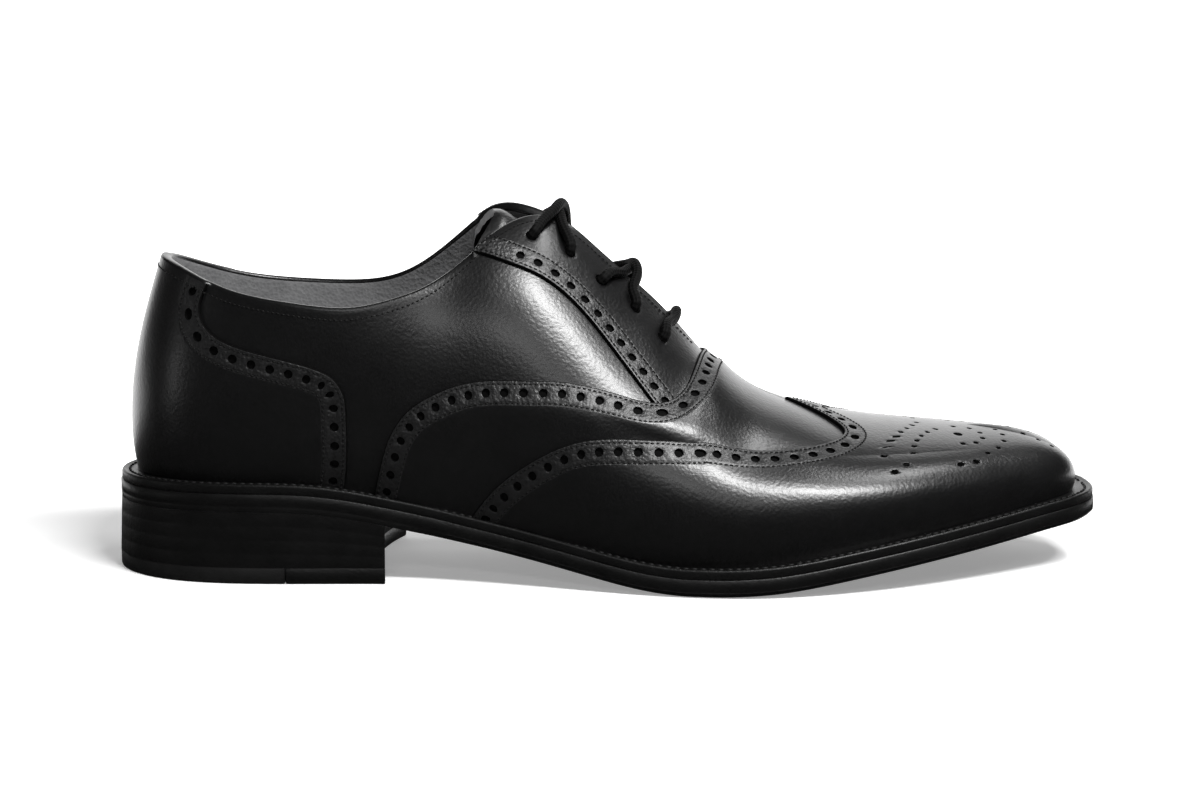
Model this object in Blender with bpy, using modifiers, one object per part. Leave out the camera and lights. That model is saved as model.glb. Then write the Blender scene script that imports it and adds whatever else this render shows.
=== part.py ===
"""Right shoe of a pair of black full-brogue Oxfords, size 43, empty and laced without a bow.

The toe points along +X, the outer (lateral) side faces -Y, the floor is z = 0.
Every form is read from the last: rays leave a spine line and fan out at heel and toe,
and a section stands on each ray, from the feather line up to the top line or the ridge.
"""
import bpy
import bmesh
import numpy as np
from mathutils import Vector

MM = 0.001

# Overall sizes of the last and of the bottom
LENGTH = 309 * MM
BALL_WIDTH = 106 * MM
TOP_RISE = 96 * MM
COLLAR_HALF = 30 * MM
HEEL_HEIGHT = 22 * MM
TOE_SPRING = 15.5 * MM

# Bottom pieces
OUTSOLE_THICK = 5.5 * MM
WELT_THICK = 3.0 * MM
INSOLE_THICK = 3.6 * MM
EDGE_BEVEL = 2.0 * MM
HEEL_LENGTH = 86.5 * MM
BREAST_HOLLOW = 6.0 * MM
TOP_LIFT_THICK = 5.0 * MM
RUBBER_LENGTH = 56.0 * MM
HEEL_FLARE = 0.8 * MM

# Leather
UPPER_WALL = 2.2 * MM
PANEL_THICK = 1.0 * MM
CAP_THICK = 1.75 * MM
TONGUE_THICK = 2.4 * MM
LACE_RADIUS = 1.6 * MM
EYELET_REACH = 14 * MM

# Clearances
CLEAR = 0.3 * MM
SEAT = 0.6 * MM
CAP_SEAT = 0.85 * MM
TONGUE_CLEAR = 0.8 * MM
PANEL_FOOT = 1.6 * MM
SEAM_CLEAR = 0.5 * MM

# Outsole edge: share of LENGTH, then the lateral and medial half widths as shares of BALL_WIDTH
OUTLINE = [
    (0.000, 0.000, 0.000),
    (0.018, 0.155, 0.155),
    (0.070, 0.272, 0.272),
    (0.155, 0.318, 0.318),
    (0.255, 0.318, 0.306),
    (0.345, 0.335, 0.272),
    (0.430, 0.385, 0.268),
    (0.515, 0.450, 0.335),
    (0.590, 0.492, 0.425),
    (0.660, 0.498, 0.485),
    (0.735, 0.462, 0.502),
    (0.810, 0.392, 0.470),
    (0.880, 0.300, 0.405),
    (0.940, 0.205, 0.325),
    (0.980, 0.120, 0.245),
    (0.997, 0.030, 0.150),
]
TOE_MIDDLE = 0.06

# Underside of the outsole: share of LENGTH, share of HEEL_HEIGHT, share of TOE_SPRING.
# Between FLAT_START and FLAT_END the sole lies on the floor under the ball of the foot.
FLAT_START, FLAT_END = 0.574, 0.606
BOTTOM = [
    (0.000, 1.000, 0.000),
    (0.145, 1.000, 0.000),
    (0.194, 0.986, 0.000),
    (0.242, 0.910, 0.000),
    (0.277, 0.820, 0.000),
    (0.323, 0.690, 0.000),
    (0.361, 0.573, 0.000),
    (0.426, 0.377, 0.000),
    (0.484, 0.191, 0.000),
    (0.532, 0.055, 0.000),
    (FLAT_START, 0.000, 0.000),
    (FLAT_END, 0.000, 0.000),
    (0.661, 0.000, 0.065),
    (0.723, 0.000, 0.245),
    (0.794, 0.000, 0.465),
    (0.900, 0.000, 0.774),
    (0.958, 0.000, 0.929),
    (1.000, 0.000, 1.000),
]

# Spine: share of LENGTH, share of BALL_WIDTH towards the medial side
SPINE = [(0.13, 0.0), (0.35, 0.01), (0.50, 0.035), (0.62, 0.05), (0.75, 0.06), (0.87, 0.06)]
HEEL_BEND, HEEL_RUN = 0.235, 0.20
TOE_BEND, TOE_RUN = 0.70, 0.34

# Side wall by ray: share, inset of the feather from the outsole's edge (lateral, medial), bulge of the
# widest line beyond the feather (lateral, medial), height of the widest line. Lengths in shares of 10 mm.
WALL = [
    (0.035, 0.65, 0.65, 0.12, 0.12, 1.35),
    (0.110, 0.60, 0.60, 0.20, 0.20, 1.40),
    (0.190, 0.52, 0.52, 0.28, 0.26, 1.50),
    (0.300, 0.46, 0.46, 0.26, 0.34, 1.60),
    (0.420, 0.46, 0.44, 0.24, 0.42, 1.60),
    (0.520, 0.60, 0.52, 0.24, 0.32, 1.45),
    (0.620, 0.74, 0.68, 0.24, 0.24, 1.25),
    (0.720, 0.76, 0.76, 0.22, 0.22, 1.05),
    (0.820, 0.78, 0.78, 0.18, 0.18, 0.85),
    (0.940, 0.84, 0.84, 0.12, 0.12, 0.50),
    (1.040, 1.02, 1.02, 0.05, 0.05, 0.25),
]
WALL_UNIT = 10 * MM

# Top edge by ray: share, half opening (lateral, medial) of COLLAR_HALF, rise (lateral, medial) of TOP_RISE,
# lean of the leather there from the vertical in degrees
TOP = [
    (0.035, 0.87, 0.87, 0.693, 0.693, 18),
    (0.065, 0.86, 0.86, 0.682, 0.682, 18),
    (0.097, 0.86, 0.87, 0.660, 0.655, 16),
    (0.145, 0.89, 0.92, 0.598, 0.605, 12),
    (0.194, 0.97, 0.95, 0.564, 0.585, 8),
    (0.242, 1.00, 0.92, 0.565, 0.600, 9),
    (0.290, 0.92, 0.80, 0.622, 0.668, 18),
    (0.323, 0.81, 0.65, 0.685, 0.760, 27),
    (0.355, 0.65, 0.49, 0.780, 0.872, 38),
    (0.381, 0.49, 0.37, 0.868, 0.950, 46),
    (0.406, 0.32, 0.25, 0.932, 0.975, 53),
    (0.432, 0.165, 0.15, 0.962, 0.970, 58),
    (0.452, 0.085, 0.085, 0.952, 0.955, 60),
    (0.484, 0.070, 0.070, 0.894, 0.894, 60),
    (0.516, 0.070, 0.070, 0.824, 0.824, 60),
    (0.548, 0.070, 0.070, 0.746, 0.746, 61),
    (0.572, 0.050, 0.050, 0.668, 0.668, 68),
    (0.586, 0.025, 0.025, 0.617, 0.617, 80),
    (0.598, 0.000, 0.000, 0.577, 0.577, 88),
    (0.626, 0.000, 0.000, 0.492, 0.492, 90),
    (0.652, 0.000, 0.000, 0.442, 0.442, 90),
    (0.690, 0.000, 0.000, 0.391, 0.391, 90),
    (0.725, 0.000, 0.000, 0.341, 0.341, 90),
    (0.760, 0.000, 0.000, 0.301, 0.301, 90),
    (0.816, 0.000, 0.000, 0.255, 0.255, 90),
    (0.870, 0.000, 0.000, 0.216, 0.216, 90),
]
SLIT_END = 0.588

# Fullness of the section above the widest line: share, pull at the side, pull at the top
FULL = [
    (0.035, 0.38, 0.35),
    (0.200, 0.35, 0.35),
    (0.330, 0.36, 0.36),
    (0.440, 0.42, 0.36),
    (0.560, 0.46, 0.34),
    (0.650, 0.52, 0.42),
    (0.760, 0.56, 0.50),
    (0.900, 0.60, 0.56),
    (1.040, 0.62, 0.60),
]


def spline(rows, column):
    """Natural cubic spline through one column of a table, as a function of its first column."""
    x = np.array([row[0] for row in rows], float)
    y = np.array([row[column] for row in rows], float)
    n = len(x)
    h = np.diff(x)
    a = np.eye(n)
    b = np.zeros(n)
    for i in range(1, n - 1):
        a[i, i - 1 : i + 2] = h[i - 1], 2 * (h[i - 1] + h[i]), h[i]
        b[i] = 6 * ((y[i + 1] - y[i]) / h[i] - (y[i] - y[i - 1]) / h[i - 1])
    m = np.linalg.solve(a, b)

    def read(q):
        q = np.clip(np.asarray(q, float), x[0], x[-1])
        i = np.clip(np.searchsorted(x, q, side="right") - 1, 0, n - 2)
        w = (q - x[i]) / h[i]
        bend = ((1 - w) ** 3 - (1 - w)) * m[i] + (w**3 - w) * m[i + 1]
        return (1 - w) * y[i] + w * y[i + 1] + h[i] ** 2 / 6 * bend

    return read


def closed_spline(points, samples):
    """Closed cubic spline through plan points, with knots at the chord lengths."""
    p = np.asarray(points, float)
    n = len(p)
    h = np.linalg.norm(np.roll(p, -1, 0) - p, axis=1)
    a = np.zeros((n, n))
    b = np.zeros((n, 2))
    for i in range(n):
        k, j = (i - 1) % n, (i + 1) % n
        a[i, k] += h[k]
        a[i, i] += 2 * (h[k] + h[i])
        a[i, j] += h[i]
        b[i] = 6 * ((p[j] - p[i]) / h[i] - (p[i] - p[k]) / h[k])
    m = np.linalg.solve(a, b)
    knots = np.concatenate([[0], np.cumsum(h)])
    u = np.linspace(0, knots[-1], samples, endpoint=False)
    i = np.clip(np.searchsorted(knots, u, side="right") - 1, 0, n - 1)
    j = (i + 1) % n
    w = ((u - knots[i]) / h[i])[:, None]
    bend = ((1 - w) ** 3 - (1 - w)) * m[i] + (w**3 - w) * m[j]
    return (1 - w) * p[i] + w * p[j] + h[i][:, None] ** 2 / 6 * bend


def sole_edge():
    """Plan of the outsole's edge, anticlockwise seen from below, from the heel round the lateral side."""
    rows = np.array(OUTLINE)
    lateral = np.column_stack([rows[:, 0] * LENGTH, -rows[:, 1] * BALL_WIDTH])
    medial = np.column_stack([rows[1:, 0] * LENGTH, rows[1:, 2] * BALL_WIDTH])[::-1]
    tip = np.array([[LENGTH, TOE_MIDDLE * BALL_WIDTH]])
    return closed_spline(np.vstack([lateral, tip, medial]), 2400)


EDGE = sole_edge()
EDGE_STEP = np.roll(EDGE, -1, 0) - np.roll(EDGE, 1, 0)
EDGE_OUT = np.column_stack([EDGE_STEP[:, 1], -EDGE_STEP[:, 0]])
EDGE_OUT /= np.linalg.norm(EDGE_OUT, axis=1)[:, None]
MID_X = (LENGTH - HEEL_FLARE) / 2
MID_Y = (EDGE[:, 1].min() + EDGE[:, 1].max()) / 2

bottom_heel = spline(BOTTOM, 1)
bottom_toe = spline(BOTTOM, 2)
spine_y = spline(SPINE, 1)


def underside(x):
    """Height of the outsole's underside above the floor at a distance from the heel's back."""
    q = np.asarray(x) / LENGTH
    return HEEL_HEIGHT * np.clip(bottom_heel(q), 0, 1) + TOE_SPRING * np.clip(bottom_toe(q), 0, 1.2)


def ray(s):
    """Foot of a ray on the spine and the ray's direction: (x, y, forwards, sideways), s in shares."""
    s = np.asarray(s, float)
    toe = np.clip((s - TOE_BEND) / TOE_RUN, 0, 1)
    heel = np.clip((HEEL_BEND - s) / HEEL_RUN, 0, 1)
    x = np.clip(s, HEEL_BEND, TOE_BEND)
    x = x + TOE_RUN / 2 * (1 - (1 - toe) ** 2) - HEEL_RUN / 2 * (1 - (1 - heel) ** 2)
    turn = np.pi / 2 * ((2 * toe**2 - toe**3) - (2 * heel**2 - heel**3))
    return x * LENGTH, spine_y(x) * BALL_WIDTH, np.sin(turn), np.cos(turn)


def reach(s, side, inset):
    """Distance along each ray to the outsole's edge moved inwards by inset (one value per ray)."""
    x, y, forwards, sideways = ray(s)
    sideways = sideways * side
    out = np.zeros(len(s))
    for i in range(len(s)):
        rel = EDGE - EDGE_OUT * inset[i] - (x[i], y[i])
        across = forwards[i] * rel[:, 1] - sideways[i] * rel[:, 0]
        along = forwards[i] * rel[:, 0] + sideways[i] * rel[:, 1]
        after, along_after = np.roll(across, -1), np.roll(along, -1)
        hit = np.nonzero((across * after <= 0) & (across != after) & (along > 0))[0]
        t = across[hit] / (across[hit] - after[hit])
        out[i] = (along[hit] + t * (along_after[hit] - along[hit])).max()
    return out


S_HEEL = HEEL_BEND - HEEL_RUN
S_TOE = TOE_BEND + TOE_RUN
STATIONS = np.linspace(S_HEEL, S_TOE, 260)
GIRTH_STEPS = 96


def bezier(p0, p1, p2, p3, t):
    """Cubic curve between p0 and p3 for each station, as (stations, steps, 2)."""
    t = t[None, :, None]
    p0, p1, p2, p3 = (np.stack(p, -1)[:, None, :] for p in (p0, p1, p2, p3))
    return (1 - t) ** 3 * p0 + 3 * t * (1 - t) ** 2 * p1 + 3 * t**2 * (1 - t) * p2 + t**3 * p3


def feather_height(x):
    return underside(x) + OUTSOLE_THICK + WELT_THICK


def last_half(side):
    """Outer face of the upper on one side: (points, girths), points by station and by share of the girth."""
    column = 1 if side < 0 else 2
    s = STATIONS
    x, y, forwards, sideways = ray(s)
    order = np.where(s < TOE_BEND, s, x / LENGTH)
    feather = reach(s, side, WALL_UNIT * spline(WALL, column)(s))
    widest = feather + WALL_UNIT * spline(WALL, column + 2)(s)
    top = COLLAR_HALF * np.clip(spline(TOP, column)(order), 0, None)
    top = np.where(order < SLIT_END, top, 0)
    lean = np.radians(np.clip(spline(TOP, 5)(order), 0, 90))
    rise = spline(TOP, column + 2)
    ridge = (
        TOP_RISE * (rise(order + 0.004) - rise(order - 0.004))
        + feather_height((order + 0.004) * LENGTH)
        - feather_height((order - 0.004) * LENGTH)
    ) / (0.008 * LENGTH)
    lean = np.where(s > TOE_BEND, np.pi / 2 + np.arctan(ridge * forwards), lean)
    low = feather_height(x + forwards * feather) + CLEAR
    mid = feather_height(x + forwards * widest) + WALL_UNIT * spline(WALL, 5)(s)
    high = feather_height(x) + TOP_RISE * rise(order)
    lower = bezier(
        (feather, low),
        (feather + 0.5 * (widest - feather), low + 0.30 * (mid - low)),
        (widest, mid - 0.40 * (mid - low)),
        (widest, mid),
        np.linspace(0, 1, 25),
    )
    side_pull = spline(FULL, 1)(s) * (high - mid)
    top_pull = spline(FULL, 2)(s) * (np.sin(lean) * (widest - top) + np.cos(lean) * (high - mid))
    upper = bezier(
        (widest, mid),
        (widest, mid + side_pull),
        (top + top_pull * np.sin(lean), high - top_pull * np.cos(lean)),
        (top, high),
        np.linspace(0, 1, 73),
    )
    section = np.concatenate([lower, upper[:, 1:]], 1)
    step = np.linalg.norm(np.diff(section, axis=1), axis=2)
    length = np.concatenate([np.zeros((len(s), 1)), np.cumsum(step, 1)], 1)
    share = np.linspace(0, 1, GIRTH_STEPS + 1)
    out = np.zeros((len(s), GIRTH_STEPS + 1, 3))
    for i in range(len(s)):
        r = np.interp(share * length[i, -1], length[i], section[i, :, 0])
        out[i, :, 0] = x[i] + forwards[i] * r
        out[i, :, 1] = y[i] + side * sideways[i] * r
        out[i, :, 2] = np.interp(share * length[i, -1], length[i], section[i, :, 1])
    return out, length[:, -1]


HALVES = {-1: last_half(-1), 1: last_half(1)}


def cubic_weights(t):
    return np.stack(
        [
            -0.5 * t + t**2 - 0.5 * t**3,
            1 - 2.5 * t**2 + 1.5 * t**3,
            0.5 * t + 2 * t**2 - 1.5 * t**3,
            -0.5 * t**2 + 0.5 * t**3,
        ],
        -1,
    )


def on_last(s, v, side):
    """Point of the upper's outer face at station s (shares) and share v of the girth above the feather."""
    table = HALVES[side][0]
    s, v = np.broadcast_arrays(np.asarray(s, float), np.asarray(v, float))
    a = np.clip((s - S_HEEL) / (S_TOE - S_HEEL), 0, 1) * (len(STATIONS) - 1)
    b = np.clip(v, 0, 1) * GIRTH_STEPS
    i = np.minimum(a.astype(int), len(STATIONS) - 2)
    j = np.minimum(b.astype(int), GIRTH_STEPS - 1)
    wa, wb = cubic_weights(a - i), cubic_weights(b - j)
    out = np.zeros(s.shape + (3,))
    for k in range(4):
        row = np.clip(i + k - 1, 0, len(STATIONS) - 1)
        for m in range(4):
            col = np.clip(j + m - 1, 0, GIRTH_STEPS)
            out += table[row, col] * (wa[..., k] * wb[..., m])[..., None]
    return out


def girth(s, side):
    """Length of the section from the feather to the top edge or the ridge."""
    return np.interp(s, STATIONS, HALVES[side][1])


def off_last(s, v, side, away):
    """Point at a distance outwards from the upper's outer face."""
    ds, dv = 0.004, 0.012
    along = on_last(np.minimum(s + ds, S_TOE), v, side) - on_last(np.maximum(s - ds, S_HEEL), v, side)
    up = on_last(s, np.minimum(v + dv, 1), side) - on_last(s, np.maximum(v - dv, 0), side)
    normal = np.cross(along, up) * -side
    normal /= np.linalg.norm(normal, axis=-1)[..., None] + 1e-12
    return on_last(s, v, side) + normal * away


# Panel edges on the last, from the feather (or the collar) upwards: share of LENGTH, share of the girth
COUNTER_EDGE = [
    (0.240, 0.00),
    (0.244, 0.20),
    (0.244, 0.41),
    (0.241, 0.55),
    (0.228, 0.64),
    (0.204, 0.685),
    (0.168, 0.72),
    (0.141, 0.76),
    (0.129, 0.82),
    (0.126, 0.90),
    (0.130, 1.00),
]
VAMP_EDGE = [
    (0.269, 0.00),
    (0.279, 0.22),
    (0.292, 0.38),
    (0.314, 0.48),
    (0.345, 0.51),
    (0.376, 0.485),
    (0.424, 0.445),
    (0.470, 0.465),
    (0.506, 0.492),
    (0.548, 0.530),
    (0.567, 0.61),
    (0.583, 0.80),
    (0.593, 1.00),
]
FACING_EDGE = [(0.368, 0.97), (0.385, 0.90), (0.406, 0.83), (0.448, 0.74), (0.480, 0.695), (0.508, 0.63), (0.541, 0.53)]
CAP_EDGE = [
    (0.364, 0.00),
    (0.387, 0.11),
    (0.420, 0.20),
    (0.452, 0.265),
    (0.480, 0.315),
    (0.507, 0.35),
    (0.536, 0.38),
    (0.583, 0.425),
    (0.633, 0.448),
    (0.668, 0.467),
    (0.705, 0.515),
    (0.726, 0.59),
    (0.733, 0.67),
    (0.728, 0.76),
    (0.708, 0.89),
    (0.680, 1.00),
]
GIRTH_UNIT = 85 * MM


def seam(points, shift=0.0):
    """Panel edge as a function of its own length share, moved sideways by shift (positive: to its right)."""
    p = np.array(points) * (LENGTH, GIRTH_UNIT)
    knots = np.concatenate([[0], np.cumsum(np.linalg.norm(np.diff(p, axis=0), axis=1))])
    knots /= knots[-1]
    read = [spline(np.column_stack([knots, p[:, k]]), 1) for k in (0, 1)]

    def at(t):
        t = np.asarray(t, float)
        low, high = np.clip(t - 0.01, 0, 1), np.clip(t + 0.01, 0, 1)
        step = np.stack([f(high) - f(low) for f in read], -1)
        step /= np.linalg.norm(step, axis=-1)[..., None]
        out = np.stack([f(t) for f in read], -1)
        out = out + shift * np.stack([step[..., 1], -step[..., 0]], -1)
        return np.stack([out[..., 0] / LENGTH, np.clip(out[..., 1] / GIRTH_UNIT, 0, 1)], -1)

    return at


def ruled(first, second, along, across):
    """Chart points between two edges, which are functions of the same share."""
    a = np.asarray(along)[:, None, None]
    return (1 - a) * first(across)[None] + a * second(across)[None]


def clear_of_rims(chart, side):
    """Keeps a panel's foot above the welt and its top just short of the top edge."""
    s, v = chart[..., 0], chart[..., 1]
    size = girth(s, side)
    return s, PANEL_FOOT / size + v * (1 - PANEL_FOOT / size)


def chart_points(chart, side, away):
    s, v = clear_of_rims(chart, side)
    return off_last(s, v, side, away)


def material(name, colour, roughness, metallic=0.0):
    made = bpy.data.materials.new(name)
    made.use_nodes = True
    shader = made.node_tree.nodes["Principled BSDF"]
    shader.inputs["Base Color"].default_value = (*colour, 1)
    shader.inputs["Roughness"].default_value = roughness
    shader.inputs["Metallic"].default_value = metallic
    return made


def place(x, y, z):
    """From the heel's back and centreline to the middle of the outsole's plan."""
    return np.stack(np.broadcast_arrays(x - MID_X, y - MID_Y, z), -1)


def new_object(name, verts, faces, look):
    """Object from points given from the heel's back, with coincident points welded."""
    verts = np.asarray(verts)
    mesh = bpy.data.meshes.new(name)
    moved = place(verts[:, 0], verts[:, 1], verts[:, 2])
    mesh.from_pydata(moved.tolist(), [], [tuple(int(i) for i in face) for face in faces])
    work = bmesh.new()
    work.from_mesh(mesh)
    bmesh.ops.remove_doubles(work, verts=work.verts, dist=0.01 * MM)
    bmesh.ops.dissolve_degenerate(work, edges=work.edges, dist=0.01 * MM)
    work.to_mesh(mesh)
    work.free()
    made = bpy.data.objects.new(name, mesh)
    made.data.materials.append(look)
    SHOE.objects.link(made)
    return made


def outward(made):
    """Turns the faces of a closed mesh outwards and shades it smooth."""
    work = bmesh.new()
    work.from_mesh(made.data)
    bmesh.ops.recalc_face_normals(work, faces=work.faces)
    work.to_mesh(made.data)
    work.free()
    made.data.shade_smooth()
    made.data.set_sharp_from_angle(angle=np.radians(40))


def grid_faces(rows, columns, start=0, flip=False):
    """Quads of a grid whose points are numbered row by row."""
    index = np.arange(rows * columns).reshape(rows, columns) + start
    corners = [index[:-1, :-1], index[1:, :-1], index[1:, 1:], index[:-1, 1:]]
    if flip:
        corners.reverse()
    return np.stack([c.ravel() for c in corners], -1)


def shell(name, sheets, thickness, look, inwards=False):
    """Leather piece: open grids (points, side) joined where they meet, with a real thickness."""
    verts, faces, start = [], [], 0
    for points, side in sheets:
        rows, columns = points.shape[:2]
        verts.append(points.reshape(-1, 3))
        faces.append(grid_faces(rows, columns, start, flip=side > 0))
        start += rows * columns
    made = new_object(name, np.concatenate(verts), np.concatenate(faces), look)
    made.data.shade_smooth()
    wall = made.modifiers.new("thickness", "SOLIDIFY")
    wall.thickness = thickness
    wall.offset = -1 if inwards else 1
    return made


def slab(name, levels, look):
    """Solid between a lowest and a highest grid; levels between them only shape its edge."""
    rows, columns = levels[0].shape[:2]
    index = np.arange(rows * columns).reshape(rows, columns)
    border = np.concatenate([index[:, 0], index[-1, 1:], index[-2::-1, -1], index[0, -2:0:-1]])
    verts = [levels[0].reshape(-1, 3)]
    faces = [grid_faces(rows, columns, 0, flip=True)]
    rim = border
    start = rows * columns
    for level in levels[1:]:
        flat = level.reshape(-1, 3)
        if level is levels[-1]:
            verts.append(flat)
            following = border + start
            faces.append(grid_faces(rows, columns, start))
        else:
            verts.append(flat[border])
            following = np.arange(len(border)) + start
        start += len(verts[-1])
        faces.append(np.stack([rim, np.roll(rim, -1), np.roll(following, -1), following], -1))
        rim = following
    made = new_object(name, np.concatenate(verts), [f for group in faces for f in group], look)
    outward(made)
    return made


def plan_grid(s, inset_lateral, inset_medial, across):
    """Plan points between the two sides of the outsole's edge, by ray: (rays, across, 2)."""
    x, y, forwards, sideways = ray(s)
    w = np.linspace(0, 1, across)[None, :, None]
    sides = []
    for side, inset in ((-1, inset_lateral), (1, inset_medial)):
        r = reach(s, side, np.broadcast_to(inset, s.shape))
        sides.append(np.stack([x + forwards * r, y + side * sideways * r], -1)[:, None])
    return sides[0] * (1 - w) + sides[1] * w


def with_height(plan, height):
    """Plan points raised by the outsole's underside at their place plus height."""
    return np.concatenate([plan, (underside(plan[..., 0]) + height)[..., None]], -1)


for old in list(bpy.data.objects):
    bpy.data.objects.remove(old, do_unlink=True)
SHOE = bpy.data.collections.new("brogue_shoe")
bpy.context.scene.collection.children.link(SHOE)
CUTTERS = bpy.data.collections.new("cutters")
bpy.context.scene.collection.children.link(CUTTERS)

calf = material("black_calf", (0.012, 0.012, 0.013), 0.34)
lining = material("grey_lining_leather", (0.20, 0.20, 0.20), 0.60)
sole_leather = material("black_sole_leather", (0.016, 0.016, 0.017), 0.48)
rubber = material("black_rubber", (0.015, 0.015, 0.015), 0.60)
insole_board = material("insole_leather", (0.16, 0.15, 0.14), 0.70)
lace_cord = material("black_waxed_cord", (0.008, 0.008, 0.008), 0.65)

# Bottom: outsole, welt, insole
sole_rays = np.concatenate(
    [
        np.linspace(S_HEEL, HEEL_BEND, 9)[:-1],
        np.linspace(HEEL_BEND, FLAT_START, 12)[:-1],
        np.array([FLAT_START, FLAT_END]),
        np.linspace(FLAT_END, TOE_BEND, 5)[1:-1],
        np.linspace(TOE_BEND, S_TOE, 12),
    ]
)
breast = HEEL_LENGTH / LENGTH
bevel = EDGE_BEVEL * np.clip((sole_rays - breast - 0.02) / 0.08, 0, 1)
edge_plan = plan_grid(sole_rays, 0.0, 0.0, 4)
slab(
    "outsole",
    [
        with_height(plan_grid(sole_rays, bevel, bevel, 4), 0.0),
        with_height(edge_plan, EDGE_BEVEL * 0.8),
        with_height(edge_plan, OUTSOLE_THICK),
    ],
    sole_leather,
)

feather_lateral = WALL_UNIT * spline(WALL, 1)(sole_rays)
feather_medial = WALL_UNIT * spline(WALL, 2)(sole_rays)


def loop(plan):
    """Closed plan line round the two edges of a plan grid."""
    return np.concatenate([plan[:, 0], plan[-2:0:-1, -1]])


welt_in = loop(plan_grid(sole_rays, feather_lateral + UPPER_WALL, feather_medial + UPPER_WALL, 2))
welt_out = loop(plan_grid(sole_rays, 0.4 * MM, 0.4 * MM, 2))
welt_rings = [
    with_height(welt_in, OUTSOLE_THICK + CLEAR),
    with_height(welt_out, OUTSOLE_THICK + CLEAR),
    with_height(welt_out, OUTSOLE_THICK + WELT_THICK),
    with_height(welt_in, OUTSOLE_THICK + WELT_THICK),
]
count = len(welt_in)
ring_faces = []
for k in range(4):
    here = np.arange(count) + k * count
    there = np.arange(count) + (k + 1) % 4 * count
    ring_faces.append(np.stack([here, np.roll(here, -1), np.roll(there, -1), there], -1))
outward(new_object("welt", np.concatenate(welt_rings), np.concatenate(ring_faces), sole_leather))

insole_inset = UPPER_WALL + 2 * CLEAR
insole_plan = plan_grid(sole_rays, feather_lateral + insole_inset, feather_medial + insole_inset, 4)
insole_low = OUTSOLE_THICK + CLEAR
slab(
    "insole",
    [with_height(insole_plan, insole_low), with_height(insole_plan, insole_low + INSOLE_THICK)],
    insole_board,
)


# Heel: stacked leather block, and a top lift of rubber behind and leather in front
def heel_grid(x_back, x_front, flare, hollow, rows, across=7):
    """Plan of a heel piece between two distances from the heel's back, its front hollowed by hollow."""
    t = np.linspace(0, 1, rows)
    x = x_back + (x_front - x_back) * ((1 - np.cos(np.pi / 2 * t)) if x_back < 1 * MM else t)
    w = np.linspace(0, 1, across)
    plan = np.zeros((rows, across, 2))
    for i in range(rows):
        ends = []
        for side in (-1, 1):
            rel = EDGE + EDGE_OUT * flare - (x[i], 0)
            after = np.roll(rel, -1, 0)
            hit = np.nonzero((rel[:, 0] * after[:, 0] <= 0) & (rel[:, 0] != after[:, 0]) & (rel[:, 1] * side > 0))[0]
            share = rel[hit, 0] / (rel[hit, 0] - after[hit, 0])
            ends.append((rel[hit, 1] + share * (after[hit, 1] - rel[hit, 1]))[0])
        plan[i, :, 1] = ends[0] + (ends[1] - ends[0]) * w
        plan[i, :, 0] = x[i] - hollow * (1 - (2 * w - 1) ** 2) * (x[i] / x_front) ** 2
    return plan


def flat(plan, z):
    return np.concatenate([plan, np.full(plan.shape[:2] + (1,), z)], -1)


heel_top = heel_grid(0.06 * MM, HEEL_LENGTH, 0.0, BREAST_HOLLOW, 14)
heel_low = heel_grid(0.06 * MM - HEEL_FLARE, HEEL_LENGTH, HEEL_FLARE, BREAST_HOLLOW, 14)
slab(
    "heel_stack",
    [flat(heel_low, TOP_LIFT_THICK + CLEAR), with_height(heel_top, -CLEAR)],
    sole_leather,
)
lift_rubber = heel_grid(0.06 * MM - HEEL_FLARE, RUBBER_LENGTH, HEEL_FLARE, 0.0, 12, 5)
slab("top_lift_rubber", [flat(lift_rubber, 0.0), flat(lift_rubber, TOP_LIFT_THICK)], rubber)
lift_leather = heel_grid(RUBBER_LENGTH + CLEAR, HEEL_LENGTH, HEEL_FLARE, 0.0, 5)
hollow_share = np.linspace(0, 1, 5)[:, None] ** 2
lift_leather[..., 0] -= BREAST_HOLLOW * hollow_share * (1 - np.linspace(-1, 1, 7)[None] ** 2)
slab("top_lift_leather", [flat(lift_leather, 0.0), flat(lift_leather, TOP_LIFT_THICK)], sole_leather)

# Upper: quarters, with the heel, the vamp and the toe closed under the panels
rays = np.concatenate(
    [
        np.linspace(S_HEEL, HEEL_BEND, 9)[:-1],
        np.linspace(HEEL_BEND, SLIT_END, 15)[:-1],
        np.linspace(SLIT_END, TOE_BEND, 7)[:-1],
        np.linspace(TOE_BEND, S_TOE, 11),
    ]
)
girths = np.concatenate([np.linspace(0, 0.18, 3)[:-1], np.linspace(0.18, 0.70, 6)[:-1], np.linspace(0.70, 1, 5)])


def halves(chart, away, join_low=False, join_top=False, join_end=False):
    """Both sides of a panel, with shared points at the back, on the ridge or at the toe."""
    lateral, medial = (chart_points(chart, side, away) for side in (-1, 1))
    for used, part in ((join_low, np.s_[0]), (join_top, np.s_[:, -1]), (join_end, np.s_[-1])):
        if used:
            middle = (lateral[part] + medial[part]) / 2
            lateral[part] = middle
            medial[part] = middle
    return [(lateral, -1), (medial, 1)]


sheets = []
for side in (-1, 1):
    grid = on_last(rays[:, None], girths[None, :], side)
    sheets.append((grid, side))
closed = rays >= SLIT_END + 0.008
middle = (sheets[0][0][:, -1] + sheets[1][0][:, -1]) / 2
for grid, side in sheets:
    grid[closed, -1] = middle[closed]
shell("upper", sheets, UPPER_WALL, calf, inwards=True)

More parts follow.
